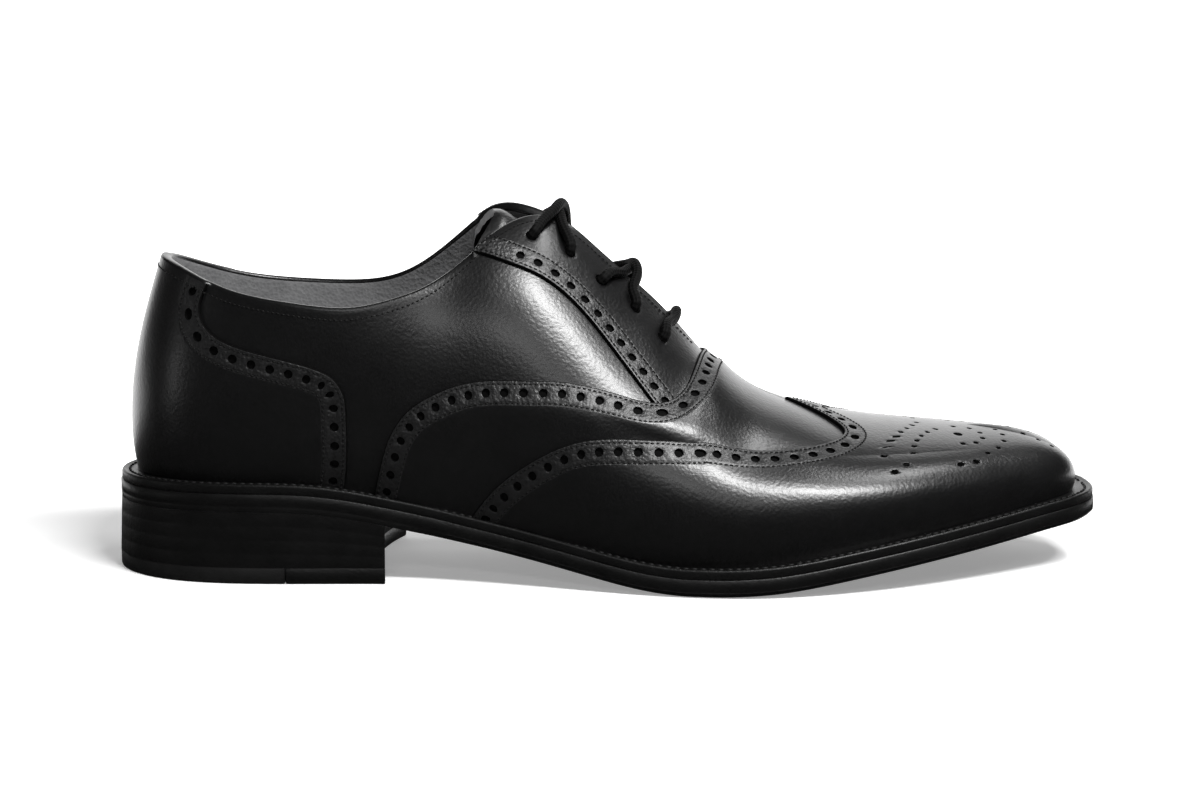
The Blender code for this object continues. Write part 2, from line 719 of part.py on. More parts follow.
# Panels over the upper
ends = np.linspace(0, 1, 15)
back_line = seam([(S_HEEL, 0.0), (S_HEEL, 0.25), (S_HEEL, 0.5), (S_HEEL, 0.75), (S_HEEL, 1.0)])
counter_chart = ruled(back_line, seam(COUNTER_EDGE), np.linspace(0, 1, 9), ends)
shell("heel_counter", halves(counter_chart, SEAT, join_low=True), PANEL_THICK, calf)

VAMP_PULL = 1.8
edge_steps = np.concatenate([np.linspace(0, 0.25, 5), np.linspace(0.25, 0.50, 4)[1:], np.linspace(0.50, 1, 12)[1:]])
vamp_steps = np.concatenate([[0, 0.1], edge_steps[1:] ** (1 / VAMP_PULL)])
cap_line = seam(CAP_EDGE, -SEAM_CLEAR)
vamp_chart = ruled(seam(VAMP_EDGE), lambda t: cap_line(t**VAMP_PULL), np.linspace(0, 1, 8), vamp_steps)
shell("vamp", halves(vamp_chart, SEAT, join_top=True), PANEL_THICK, calf)

toe_line = seam([(S_TOE, 0.0), (S_TOE, 0.25), (S_TOE, 0.5), (S_TOE, 0.75), (S_TOE, 1.0)])
cap_along = np.linspace(0, 1, 18)
cap_along = cap_along + 0.05 * np.sin(np.pi * cap_along)
cap_chart = ruled(seam(CAP_EDGE), toe_line, cap_along, edge_steps)
shell("wing_cap", halves(cap_chart, CAP_SEAT, join_top=True, join_end=True), CAP_THICK, calf)


def coons(low, high, start, end, rows, columns):
    """Chart points inside four edges; low and high run along, start and end run across."""
    a, b = np.linspace(0, 1, rows), np.linspace(0, 1, columns)
    u, w = a[:, None, None], b[None, :, None]
    c = [low(0.0), low(1.0), high(0.0), high(1.0)]
    ruled_across = (1 - w) * low(a)[:, None] + w * high(a)[:, None]
    ruled_along = (1 - u) * start(b)[None] + u * end(b)[None]
    corners = (1 - w) * ((1 - u) * c[0] + u * c[1]) + w * ((1 - u) * c[2] + u * c[3])
    return ruled_across + ruled_along - corners


vamp_front = seam(VAMP_EDGE, -1.6 * SEAM_CLEAR)
FACING_JOIN, TOP_START = 0.745, 0.378
facing_low = seam(FACING_EDGE)
end_low, end_high = vamp_front(FACING_JOIN), vamp_front(1.0)
facing_chart = coons(
    lambda a: facing_low(a) + np.asarray(a)[..., None] * (end_low - facing_low(1.0)),
    lambda a: np.stack([TOP_START + (end_high[0] - TOP_START) * a, np.ones_like(a)], -1),
    lambda b: facing_low(0.0) + np.asarray(b)[..., None] * (np.array([TOP_START, 1.0]) - facing_low(0.0)),
    lambda b: vamp_front(FACING_JOIN + (1 - FACING_JOIN) * np.asarray(b)),
    17,
    7,
)
edge_gap = np.array([0.0, 1.0]) * SEAM_CLEAR / GIRTH_UNIT
facing_chart = facing_chart - edge_gap * np.linspace(0, 1, 7)[None, :, None]
for name, side in (("facing_lateral", -1), ("facing_medial", 1)):
    shell(name, [(chart_points(facing_chart, side, SEAT), side)], PANEL_THICK, calf)


# Tongue and laces follow the instep, closed across the opening
INSTEP_START, INSTEP_END = 0.378, 0.618
INSTEP_HALF = 34 * MM


def instep(away, rows=61, columns=97):
    """Points over the instep by ray and by distance from its middle line, moved outwards by away."""
    s = np.linspace(INSTEP_START, INSTEP_END, rows)
    across = np.linspace(-INSTEP_HALF, INSTEP_HALF, columns)
    v = np.linspace(0.5, 1, 60)
    grid = np.zeros((rows, columns, 3))
    for i in range(rows):
        lateral = on_last(np.full(60, s[i]), v, -1)
        medial = on_last(np.full(60, s[i]), v, 1)
        left, right = lateral[-1], medial[-1]
        gap = right[1] - left[1]
        slopes = [(p[-1, 2] - p[-4, 2]) / abs(p[-1, 1] - p[-4, 1]) for p in (lateral, medial)]
        t = np.linspace(0, 1, 15)[1:-1]
        arch = left + (right - left) * t[:, None]
        arch[:, 2] += gap * (slopes[0] * t * (1 - t) ** 2 + slopes[1] * (1 - t) * t**2)
        line = np.concatenate([lateral, arch, medial[::-1]]) if gap > 0.2 * MM else np.concatenate([lateral, medial[-2::-1]])
        length = np.concatenate([[0], np.cumsum(np.linalg.norm(np.diff(line, axis=0), axis=1))])
        centre = np.interp((line[59, 1] + line[-60, 1]) / 2, line[55:-55, 1], length[55:-55])
        for k in range(3):
            grid[i, :, k] = np.interp(centre + across, length, line[:, k])
    along, over = np.gradient(grid, axis=(0, 1))
    normal = np.cross(along, over)
    normal /= np.linalg.norm(normal, axis=-1)[..., None]
    return s, across, grid + normal * away


TONGUE_HALF_TOP, TONGUE_HALF_LOW = 29 * MM, 24 * MM
TONGUE_START, TONGUE_END = 0.384, 0.606
s_fine, across_fine, under = instep(-(UPPER_WALL + TONGUE_CLEAR))


def sample(grid, s, d):
    """Reads the instep grid at rays s and distances d from the middle."""
    a = np.interp(s, s_fine, np.arange(len(s_fine)))
    b = np.interp(d, across_fine, np.arange(len(across_fine)))
    i = np.minimum(a.astype(int), len(s_fine) - 2)
    j = np.minimum(b.astype(int), len(across_fine) - 2)
    u, w = (a - i)[..., None], (b - j)[..., None]
    low = grid[i, j] * (1 - u) + grid[i + 1, j] * u
    high = grid[i, j + 1] * (1 - u) + grid[i + 1, j + 1] * u
    return low * (1 - w) + high * w


rows = np.linspace(TONGUE_START, TONGUE_END, 14)
columns = np.linspace(-1, 1, 13)
half = np.linspace(TONGUE_HALF_TOP, TONGUE_HALF_LOW, len(rows))
tongue_grid = sample(under, np.repeat(rows[:, None], 13, 1), half[:, None] * columns[None])
shell("tongue", [(tongue_grid, -1)], TONGUE_THICK, calf, inwards=True)

EYELETS = [0.422, 0.457, 0.490, 0.523, 0.555]
LACE_AWAY = SEAT + PANEL_THICK + CLEAR + LACE_RADIUS
over = instep(LACE_AWAY)[2]


def lace(name, start, end):
    """Cord across the instep between an eyelet on the lateral side and one on the medial side."""
    t = np.linspace(0, 1, 11)
    s = start + (end - start) * t
    d = EYELET_REACH * (2 * t - 1)
    points = sample(over, s, d)
    curve = bpy.data.curves.new(name, "CURVE")
    curve.dimensions = "3D"
    line = curve.splines.new("POLY")
    line.points.add(len(points) - 1)
    for point, at in zip(line.points, place(points[:, 0], points[:, 1], points[:, 2])):
        point.co = (*at, 1)
    curve.bevel_depth = LACE_RADIUS
    curve.bevel_resolution = 2
    curve.use_fill_caps = True
    tube = bpy.data.objects.new(name + "_line", curve)
    SHOE.objects.link(tube)
    bpy.context.view_layer.update()
    evaluated = tube.evaluated_get(bpy.context.evaluated_depsgraph_get())
    mesh = bpy.data.meshes.new_from_object(evaluated)
    mesh.name = name
    work = bmesh.new()
    work.from_mesh(mesh)
    bmesh.ops.remove_doubles(work, verts=work.verts, dist=0.01 * MM)
    bmesh.ops.recalc_face_normals(work, faces=work.faces)
    work.to_mesh(mesh)
    work.free()
    made = bpy.data.objects.new(name, mesh)
    made.matrix_world = tube.matrix_world
    bpy.data.objects.remove(tube, do_unlink=True)
    mesh.materials.clear()
    mesh.materials.append(lace_cord)
    mesh.shade_smooth()
    SHOE.objects.link(made)
    return made


for name, first, second in (("lace_cross_upper", 0, 1), ("lace_cross_lower", 2, 3)):
    made = lace(name, EYELETS[first], EYELETS[second])
    other = lace(name + "_back", EYELETS[second], EYELETS[first])
    SHOE.objects.unlink(other)
    CUTTERS.objects.link(other)
    other.hide_render = True
    other.display_type = "WIRE"
    join = made.modifiers.new("crossing", "BOOLEAN")
    join.operation = "UNION"
    join.object = other
lace("lace_bar", EYELETS[4], EYELETS[4])
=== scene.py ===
"""Dressed model of an empty black full-brogue Oxford for the right foot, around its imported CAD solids.

Lengths are in millimetres from the back of the heel: x to the toe, y to the inner (medial) side, z up
from the floor. seat_points() turns them into the frame's metres, with the middle of the sole at the origin.
"""

import bmesh
import bpy
import numpy as np
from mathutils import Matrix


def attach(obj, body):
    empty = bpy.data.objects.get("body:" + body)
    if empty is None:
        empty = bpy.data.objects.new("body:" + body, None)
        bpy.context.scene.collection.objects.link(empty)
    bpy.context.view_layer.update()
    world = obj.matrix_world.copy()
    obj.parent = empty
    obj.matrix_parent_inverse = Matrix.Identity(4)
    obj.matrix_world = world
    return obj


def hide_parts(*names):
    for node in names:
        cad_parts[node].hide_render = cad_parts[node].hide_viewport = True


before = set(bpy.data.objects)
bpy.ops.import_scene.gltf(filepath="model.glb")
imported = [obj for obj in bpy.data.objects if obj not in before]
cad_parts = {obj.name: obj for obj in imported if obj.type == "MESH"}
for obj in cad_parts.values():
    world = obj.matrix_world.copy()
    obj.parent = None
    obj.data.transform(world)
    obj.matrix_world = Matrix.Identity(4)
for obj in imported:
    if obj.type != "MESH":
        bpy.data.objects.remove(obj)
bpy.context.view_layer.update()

# The camera of the photograph stands on the outer side, a little behind the middle of the shoe and
# above its top, and looks down at it by nine degrees.
CAMERA_PLACE = (-0.0025, -0.6301, 0.1505)
CAMERA_TILT = 8.96
CAMERA_FILM, CAMERA_LENS = 36, 60.48
camera_data = bpy.data.cameras.new("photo_camera")
camera_data.sensor_width = CAMERA_FILM
camera_data.lens = CAMERA_LENS
camera = bpy.data.objects.new("photo_camera", camera_data)
camera.location = CAMERA_PLACE
camera.rotation_euler = (np.radians(90 - CAMERA_TILT), 0, 0)
bpy.context.scene.collection.objects.link(camera)
bpy.context.scene.camera = camera

# Insole: vegetable-tanned leather with a thin grey sock glued over it. It shows only deep inside the
# shoe, so the CAD solid stays and gets the worn, faintly mottled face of lining leather.


class Value:
    """A shader socket with arithmetic: each operator adds one Math node to its finish."""

    def __init__(self, finish, socket):
        self.finish = finish
        self.socket = socket

    def maths(self, operation, *values):
        return self.finish.node("ShaderNodeMath", {"operation": operation}, values)

    def __add__(self, other):
        return self.maths("ADD", self, other)

    def __sub__(self, other):
        return self.maths("SUBTRACT", self, other)

    def __mul__(self, other):
        return self.maths("MULTIPLY", self, other)

    def wave(self):
        """Sine of the value in radians."""
        return self.maths("SINE", self)

    __radd__ = __add__
    __rmul__ = __mul__


class Finish:
    """A material with one Principled shader; constant values go straight on its sockets."""

    def __init__(self, name, colour, roughness, **constants):
        self.material = bpy.data.materials.new(name)
        self.material.use_nodes = True
        self.tree = self.material.node_tree
        self.shader = self.tree.nodes["Principled BSDF"]
        self.shader.inputs["Base Color"].default_value = (*colour, 1)
        self.shader.inputs["Roughness"].default_value = roughness
        for label, value in constants.items():
            self.shader.inputs[label.replace("_", " ")].default_value = value
        self.place = self.node("ShaderNodeTexCoord", {}, {}, "Object")

    def node(self, kind, settings, inputs, output=0):
        """Adds a node, sets its settings first and then its sockets, from plain values or links."""
        made = self.tree.nodes.new(kind)
        for label, value in settings.items():
            setattr(made, label, value)
        pairs = inputs.items() if isinstance(inputs, dict) else enumerate(inputs)
        for label, value in pairs:
            if isinstance(value, Value):
                self.tree.links.new(value.socket, made.inputs[label])
            else:
                made.inputs[label].default_value = value
        return Value(self, made.outputs[output])

    def noise(self, per_metre, detail, roughness):
        """Cloudy noise with so many waves to the metre."""
        inputs = {"Vector": self.place, "Scale": per_metre, "Detail": detail, "Roughness": roughness}
        return self.node("ShaderNodeTexNoise", {}, inputs)

    def pebbles(self, per_metre):
        """Distance to the middle of the nearest of scattered cells, so many to the metre."""
        return self.node("ShaderNodeTexVoronoi", {}, {"Vector": self.place, "Scale": per_metre})

    def colour(self, share, first, second):
        """Base colour between two colours by a share."""
        inputs = {0: share, 6: (*first, 1), 7: (*second, 1)}
        mixed = self.node("ShaderNodeMix", {"data_type": "RGBA"}, inputs, 2)
        self.tree.links.new(mixed.socket, self.shader.inputs["Base Color"])

    def drive(self, label, value):
        self.tree.links.new(value.socket, self.shader.inputs[label])

    def relief(self, height, metres):
        """Bump from a height between 0 and 1 that stands for a real height in metres."""
        bump = self.node("ShaderNodeBump", {}, {"Height": height, "Distance": metres, "Strength": 1.0})
        self.tree.links.new(bump.socket, self.shader.inputs["Normal"])


def grey(shade):
    return (shade, shade, shade)


def scaled(colour, share):
    return tuple(share * part for part in colour)


def lining_finish(name, dark, light):
    """Dry lining leather: clouds of grey, fine pores and soft crinkles."""
    made = Finish(name, light, 0.62, Specular_IOR_Level=0.35)
    clouds = made.noise(70, 4, 0.6)
    pores = made.pebbles(900)
    crinkle = made.noise(190, 3, 0.55)
    made.colour(clouds * 0.7 + pores * 0.3, dark, light)
    made.drive("Roughness", 0.54 + clouds * 0.18)
    made.relief(pores * 0.25 + crinkle * 0.75, 0.0004)
    return made.material


sock = lining_finish("grey_sock_leather", (0.10, 0.10, 0.10), (0.19, 0.19, 0.185))


def dress(node, *materials):
    """Puts worked finishes on the slots of a CAD solid that stays, in place of its plain ones."""
    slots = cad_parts[node].material_slots
    for number in range(len(slots)):
        slots[number].material = materials[number % len(materials)]


dress("insole", sock)

# Upper: two quarters of black box calf over grey lining leather, sewn together and lasted over the
# insole. The top edge is folded over and stitched, and the slit is left open for the lacing.
LENGTH = 309
BALL_WIDTH = 106
TOP_RISE = 96
COLLAR_HALF = 30
HEEL_HEIGHT = 22
TOE_SPRING = 15.5
OUTSOLE_THICK = 5.5
WELT_THICK = 3.0
HEEL_FLARE = 0.8
UPPER_WALL = 2.2
FEATHER_GAP = 0.3

# Sole edge: share of LENGTH, then the lateral and medial half widths as shares of BALL_WIDTH
OUTLINE = [
    (0.000, 0.000, 0.000),
    (0.018, 0.155, 0.155),
    (0.070, 0.272, 0.272),
    (0.155, 0.318, 0.318),
    (0.255, 0.318, 0.306),
    (0.345, 0.335, 0.272),
    (0.430, 0.385, 0.268),
    (0.515, 0.450, 0.335),
    (0.590, 0.492, 0.425),
    (0.660, 0.498, 0.485),
    (0.735, 0.462, 0.502),
    (0.810, 0.392, 0.470),
    (0.880, 0.300, 0.405),
    (0.940, 0.205, 0.325),
    (0.980, 0.120, 0.245),
    (0.997, 0.030, 0.150),
]
TOE_MIDDLE = 0.06

# Underside of the outsole: share of LENGTH, share of HEEL_HEIGHT, share of TOE_SPRING
BOTTOM = [
    (0.000, 1.000, 0.000),
    (0.145, 1.000, 0.000),
    (0.194, 0.986, 0.000),
    (0.242, 0.910, 0.000),
    (0.277, 0.820, 0.000),
    (0.323, 0.690, 0.000),
    (0.361, 0.573, 0.000),
    (0.426, 0.377, 0.000),
    (0.484, 0.191, 0.000),
    (0.532, 0.055, 0.000),
    (0.574, 0.000, 0.000),
    (0.606, 0.000, 0.000),
    (0.661, 0.000, 0.065),
    (0.723, 0.000, 0.245),
    (0.794, 0.000, 0.465),
    (0.900, 0.000, 0.774),
    (0.958, 0.000, 0.929),
    (1.000, 0.000, 1.000),
]

# Spine, from which the rays of the last leave: share of LENGTH, share of BALL_WIDTH
SPINE = [(0.13, 0.0), (0.35, 0.01), (0.50, 0.035), (0.62, 0.05), (0.75, 0.06), (0.87, 0.06)]
HEEL_BEND, HEEL_RUN = 0.235, 0.20
TOE_BEND, TOE_RUN = 0.70, 0.34
S_HEEL, S_TOE = HEEL_BEND - HEEL_RUN, TOE_BEND + TOE_RUN

# Side wall by ray: share, inset of the feather line (lateral, medial), bulge (lateral, medial), height
# of the widest line, in shares of WALL_UNIT
WALL = [
    (0.035, 0.65, 0.65, 0.12, 0.12, 1.35),
    (0.110, 0.60, 0.60, 0.20, 0.20, 1.40),
    (0.190, 0.52, 0.52, 0.28, 0.26, 1.50),
    (0.300, 0.46, 0.46, 0.26, 0.34, 1.60),
    (0.420, 0.46, 0.44, 0.24, 0.42, 1.60),
    (0.520, 0.60, 0.52, 0.24, 0.32, 1.45),
    (0.620, 0.74, 0.68, 0.24, 0.24, 1.25),
    (0.720, 0.76, 0.76, 0.22, 0.22, 1.05),
    (0.820, 0.78, 0.78, 0.18, 0.18, 0.85),
    (0.940, 0.84, 0.84, 0.12, 0.12, 0.50),
    (1.040, 1.02, 1.02, 0.05, 0.05, 0.25),
]
WALL_UNIT = 10

# Top edge by ray: share, half opening (lateral, medial) of COLLAR_HALF, rise (lateral, medial) of
# TOP_RISE, lean of the leather there in degrees from the vertical
TOP = [
    (0.035, 0.87, 0.87, 0.693, 0.693, 18),
    (0.065, 0.86, 0.86, 0.682, 0.682, 18),
    (0.097, 0.86, 0.87, 0.660, 0.655, 16),
    (0.145, 0.89, 0.92, 0.598, 0.605, 12),
    (0.194, 0.97, 0.95, 0.564, 0.585, 8),
    (0.242, 1.00, 0.92, 0.565, 0.600, 9),
    (0.290, 0.92, 0.80, 0.622, 0.668, 18),
    (0.323, 0.81, 0.65, 0.685, 0.760, 27),
    (0.355, 0.65, 0.49, 0.780, 0.872, 38),
    (0.381, 0.49, 0.37, 0.868, 0.950, 46),
    (0.406, 0.32, 0.25, 0.932, 0.975, 53),
    (0.432, 0.165, 0.15, 0.962, 0.970, 58),
    (0.452, 0.085, 0.085, 0.952, 0.955, 60),
    (0.484, 0.070, 0.070, 0.894, 0.894, 60),
    (0.516, 0.070, 0.070, 0.824, 0.824, 60),
    (0.548, 0.070, 0.070, 0.746, 0.746, 61),
    (0.572, 0.050, 0.050, 0.668, 0.668, 68),
    (0.586, 0.025, 0.025, 0.617, 0.617, 80),
    (0.598, 0.000, 0.000, 0.577, 0.577, 88),
    (0.626, 0.000, 0.000, 0.492, 0.492, 90),
    (0.652, 0.000, 0.000, 0.442, 0.442, 90),
    (0.690, 0.000, 0.000, 0.391, 0.391, 90),
    (0.725, 0.000, 0.000, 0.341, 0.341, 90),
    (0.760, 0.000, 0.000, 0.301, 0.301, 90),
    (0.816, 0.000, 0.000, 0.255, 0.255, 90),
    (0.870, 0.000, 0.000, 0.216, 0.216, 90),
]
SLIT_END = 0.588

# Fullness of the section above the widest line: share, pull at the side, pull at the top
FULL = [
    (0.035, 0.38, 0.35),
    (0.200, 0.35, 0.35),
    (0.330, 0.36, 0.36),
    (0.440, 0.42, 0.36),
    (0.560, 0.46, 0.34),
    (0.650, 0.52, 0.42),
    (0.760, 0.56, 0.50),
    (0.900, 0.60, 0.56),
    (1.040, 0.62, 0.60),
]
STATIONS = np.linspace(S_HEEL, S_TOE, 260)
GIRTH_STEPS, FOOT_STEPS = 96, 8


def spline(rows, column):
    """Natural cubic spline through one column of a table, read by its first column."""
    x = np.array([row[0] for row in rows], float)
    y = np.array([row[column] for row in rows], float)
    n = len(x)
    h = np.diff(x)
    a = np.eye(n)
    b = np.zeros(n)
    for i in range(1, n - 1):
        a[i, i - 1 : i + 2] = h[i - 1], 2 * (h[i - 1] + h[i]), h[i]
        b[i] = 6 * ((y[i + 1] - y[i]) / h[i] - (y[i] - y[i - 1]) / h[i - 1])
    m = np.linalg.solve(a, b)

    def read(q):
        q = np.clip(np.asarray(q, float), x[0], x[-1])
        i = np.clip(np.searchsorted(x, q, side="right") - 1, 0, n - 2)
        w = (q - x[i]) / h[i]
        bend = ((1 - w) ** 3 - (1 - w)) * m[i] + (w**3 - w) * m[i + 1]
        return (1 - w) * y[i] + w * y[i + 1] + h[i] ** 2 / 6 * bend

    return read


def closed_spline(points, samples):
    """Closed cubic spline through plan points, with knots at the chord lengths."""
    p = np.asarray(points, float)
    n = len(p)
    h = np.linalg.norm(np.roll(p, -1, 0) - p, axis=1)
    a = np.zeros((n, n))
    b = np.zeros((n, 2))
    for i in range(n):
        k, j = (i - 1) % n, (i + 1) % n
        a[i, k] += h[k]
        a[i, i] += 2 * (h[k] + h[i])
        a[i, j] += h[i]
        b[i] = 6 * ((p[j] - p[i]) / h[i] - (p[i] - p[k]) / h[k])
    m = np.linalg.solve(a, b)
    knots = np.concatenate([[0], np.cumsum(h)])
    u = np.linspace(0, knots[-1], samples, endpoint=False)
    i = np.clip(np.searchsorted(knots, u, side="right") - 1, 0, n - 1)
    j = (i + 1) % n
    w = ((u - knots[i]) / h[i])[:, None]
    bend = ((1 - w) ** 3 - (1 - w)) * m[i] + (w**3 - w) * m[j]
    return (1 - w) * p[i] + w * p[j] + h[i][:, None] ** 2 / 6 * bend


def unit(vectors):
    """The same directions with a length of one."""
    return vectors / np.linalg.norm(vectors, axis=-1)[..., None]


def sole_edge():
    """Plan of the sole's edge from the heel round the lateral side, the toe and the medial side."""
    rows = np.array(OUTLINE)
    lateral = np.column_stack([rows[:, 0] * LENGTH, -rows[:, 1] * BALL_WIDTH])
    medial = np.column_stack([rows[1:, 0] * LENGTH, rows[1:, 2] * BALL_WIDTH])[::-1]
    tip = np.array([[LENGTH, TOE_MIDDLE * BALL_WIDTH]])
    return closed_spline(np.vstack([lateral, tip, medial]), 2400)


EDGE = sole_edge()
EDGE_STEP = np.roll(EDGE, -1, 0) - np.roll(EDGE, 1, 0)
EDGE_OUT = unit(np.column_stack([EDGE_STEP[:, 1], -EDGE_STEP[:, 0]]))
MIDDLE = np.array([(LENGTH - HEEL_FLARE) / 2, (EDGE[:, 1].min() + EDGE[:, 1].max()) / 2, 0])

bottom_heel = spline(BOTTOM, 1)
bottom_toe = spline(BOTTOM, 2)
spine_y = spline(SPINE, 1)


def underside(x):
    """Height of the outsole's underside above the floor at a distance from the heel's back."""
    q = np.asarray(x) / LENGTH
    return HEEL_HEIGHT * np.clip(bottom_heel(q), 0, 1) + TOE_SPRING * np.clip(bottom_toe(q), 0, 1.2)


def feather_height(x):
    """Height of the welt's top, where the upper's lasted edge meets it."""
    return underside(x) + OUTSOLE_THICK + WELT_THICK


def ray(s):
    """Foot of a ray on the spine and its direction: (x, y, forwards, sideways)."""
    s = np.asarray(s, float)
    toe = np.clip((s - TOE_BEND) / TOE_RUN, 0, 1)
    heel = np.clip((HEEL_BEND - s) / HEEL_RUN, 0, 1)
    x = np.clip(s, HEEL_BEND, TOE_BEND)
    x = x + TOE_RUN / 2 * (1 - (1 - toe) ** 2) - HEEL_RUN / 2 * (1 - (1 - heel) ** 2)
    turn = np.pi / 2 * ((2 * toe**2 - toe**3) - (2 * heel**2 - heel**3))
    return x * LENGTH, spine_y(x) * BALL_WIDTH, np.sin(turn), np.cos(turn)


def reach(s, side, inset):
    """Length of each ray up to the sole's edge moved inwards by inset: its farthest meeting with it."""
    x, y, forwards, sideways = (part[:, None] for part in ray(s))
    sideways = sideways * side
    moved = EDGE[None] - EDGE_OUT[None] * np.broadcast_to(inset, s.shape)[:, None, None]
    across = forwards * (moved[..., 1] - y) - sideways * (moved[..., 0] - x)
    along = forwards * (moved[..., 0] - x) + sideways * (moved[..., 1] - y)
    after, along_after = np.roll(across, -1, 1), np.roll(along, -1, 1)
    meets = (across * after <= 0) & (across != after) & (along > 0)
    share = across / np.where(meets, across - after, 1)
    return np.where(meets, along + share * (along_after - along), 0).max(1)


def bezier(p0, p1, p2, p3, t):
    """Cubic curve between p0 and p3 for each station, as (stations, steps, 2)."""
    t = t[None, :, None]
    p0, p1, p2, p3 = (np.stack(p, -1)[:, None, :] for p in (p0, p1, p2, p3))
    return (1 - t) ** 3 * p0 + 3 * t * (1 - t) ** 2 * p1 + 3 * t**2 * (1 - t) * p2 + t**3 * p3


def run_of(lines):
    """Distance run along each row of points."""
    step = np.linalg.norm(np.diff(lines, axis=-2), axis=-1)
    return np.concatenate([np.zeros(step.shape[:-1] + (1,)), np.cumsum(step, -1)], -1)


def read_runs(lines, run, want):
    """Points of each row at the distances wanted, straight between its points."""
    i = np.clip((run[:, None, :] <= want[:, :, None]).sum(-1) - 1, 0, lines.shape[1] - 2)
    rows = np.arange(len(lines))[:, None]
    share = (want - run[rows, i]) / np.maximum(run[rows, i + 1] - run[rows, i], 1e-9)
    return lines[rows, i] + (lines[rows, i + 1] - lines[rows, i]) * share[..., None]


def read_line(at, run, line):
    """Points of one line at the distances wanted, from the distance run at each of its points."""
    return np.stack([np.interp(at, run, column) for column in line.T], -1)


def table_column(side):
    """Column of a table's lateral or medial value, where the two follow the share."""
    return 1 if side < 0 else 2


def last_half(side):
    """Outer face of the quarters on one side, as points by ray and share of the girth, and the girths.

    Each section is two cubic curves: from the feather line out to the widest line, and from there up to
    the top edge or the ridge, leaning there as the TOP table says.
    """
    column = table_column(side)
    s = STATIONS
    x, y, forwards, sideways = ray(s)
    order = np.where(s < TOE_BEND, s, x / LENGTH)
    feather = reach(s, side, WALL_UNIT * spline(WALL, column)(s))
    widest = feather + WALL_UNIT * spline(WALL, column + 2)(s)
    top = COLLAR_HALF * np.clip(spline(TOP, column)(order), 0, None)
    top = np.where(order < SLIT_END, top, 0)
    lean = np.radians(np.clip(spline(TOP, 5)(order), 0, 90))
    rise = spline(TOP, column + 2)
    near = 0.004
    ridge = (
        TOP_RISE * (rise(order + near) - rise(order - near))
        + feather_height((order + near) * LENGTH)
        - feather_height((order - near) * LENGTH)
    ) / (2 * near * LENGTH)
    lean = np.where(s > TOE_BEND, np.pi / 2 + np.arctan(ridge * forwards), lean)
    low = feather_height(x + forwards * feather) + FEATHER_GAP
    mid = feather_height(x + forwards * widest) + WALL_UNIT * spline(WALL, 5)(s)
    high = feather_height(x) + TOP_RISE * rise(order)
    lower = bezier(
        (feather, low),
        (feather + 0.5 * (widest - feather), low + 0.30 * (mid - low)),
        (widest, mid - 0.40 * (mid - low)),
        (widest, mid),
        np.linspace(0, 1, 25),
    )
    side_pull = spline(FULL, 1)(s) * (high - mid)
    top_pull = spline(FULL, 2)(s) * (np.sin(lean) * (widest - top) + np.cos(lean) * (high - mid))
    upper = bezier(
        (widest, mid),
        (widest, mid + side_pull),
        (top + top_pull * np.sin(lean), high - top_pull * np.cos(lean)),
        (top, high),
        np.linspace(0, 1, 73),
    )
    section = np.concatenate([lower, upper[:, 1:]], 1)
    run = run_of(section)
    even = read_runs(section, run, np.linspace(0, 1, GIRTH_STEPS + 1)[None] * run[:, -1:])
    points = np.stack(
        [
            x[:, None] + forwards[:, None] * even[..., 0],
            y[:, None] + side * sideways[:, None] * even[..., 0],
            even[..., 1],
        ],
        -1,
    )
    below = np.arange(FOOT_STEPS, 0, -1)[None, :, None]
    foot = points[:, :1] - below * (points[:, 1:2] - points[:, :1])
    return np.concatenate([foot, points], 1), run[:, -1]


def last_tables():
    """Points and outward normals of both halves, made equal where the halves meet."""
    halves = {side: last_half(side) for side in (-1, 1)}
    points = {side: halves[side][0] for side in halves}
    for row in (0, -1):
        points[-1][row] = points[1][row] = (points[-1][row] + points[1][row]) / 2
    closed = STATIONS > SLIT_END + 0.004
    normals = {}
    for side in points:
        along, up = np.gradient(points[side], axis=(0, 1))
        normals[side] = unit(np.cross(along, up) * -side)
    for part in (np.s_[0], np.s_[-1], np.s_[closed, -1]):
        normals[-1][part] = normals[1][part] = unit(normals[-1][part] + normals[1][part])
    tables = {side: np.concatenate([points[side], normals[side]], -1) for side in points}
    return tables, {side: halves[side][1] for side in halves}


LAST, GIRTH = last_tables()


def cubic_weights(t):
    """Weights of four neighbours at a share t of the way between the middle two of them."""
    return np.stack(
        [
            -0.5 * t + t**2 - 0.5 * t**3,
            1 - 2.5 * t**2 + 1.5 * t**3,
            0.5 * t + 2 * t**2 - 1.5 * t**3,
            -0.5 * t**2 + 0.5 * t**3,
        ],
        -1,
    )


def on_last(chart, side, away=0.0):
    """Points over one half of the last: chart holds the ray and the share of the girth, away is the
    distance outwards. The table of points and normals is read by cubic weights in both directions."""
    table = LAST[side]
    chart = np.asarray(chart, float)
    a = np.clip((chart[..., 0] - S_HEEL) / (S_TOE - S_HEEL), 0, 1) * (len(STATIONS) - 1)
    b = np.clip(chart[..., 1] * GIRTH_STEPS + FOOT_STEPS, 0, GIRTH_STEPS + FOOT_STEPS)
    i = np.minimum(a.astype(int), len(STATIONS) - 2)
    j = np.minimum(b.astype(int), GIRTH_STEPS + FOOT_STEPS - 1)
    wa, wb = cubic_weights(a - i), cubic_weights(b - j)
    out = np.zeros(a.shape + (6,))
    for k in range(4):
        row = np.clip(i + k - 1, 0, len(STATIONS) - 1)
        for m in range(4):
            col = np.clip(j + m - 1, 0, GIRTH_STEPS + FOOT_STEPS)
            out += table[row, col] * (wa[..., k] * wb[..., m])[..., None]
    return out[..., :3] + unit(out[..., 3:]) * np.asarray(away)[..., None]


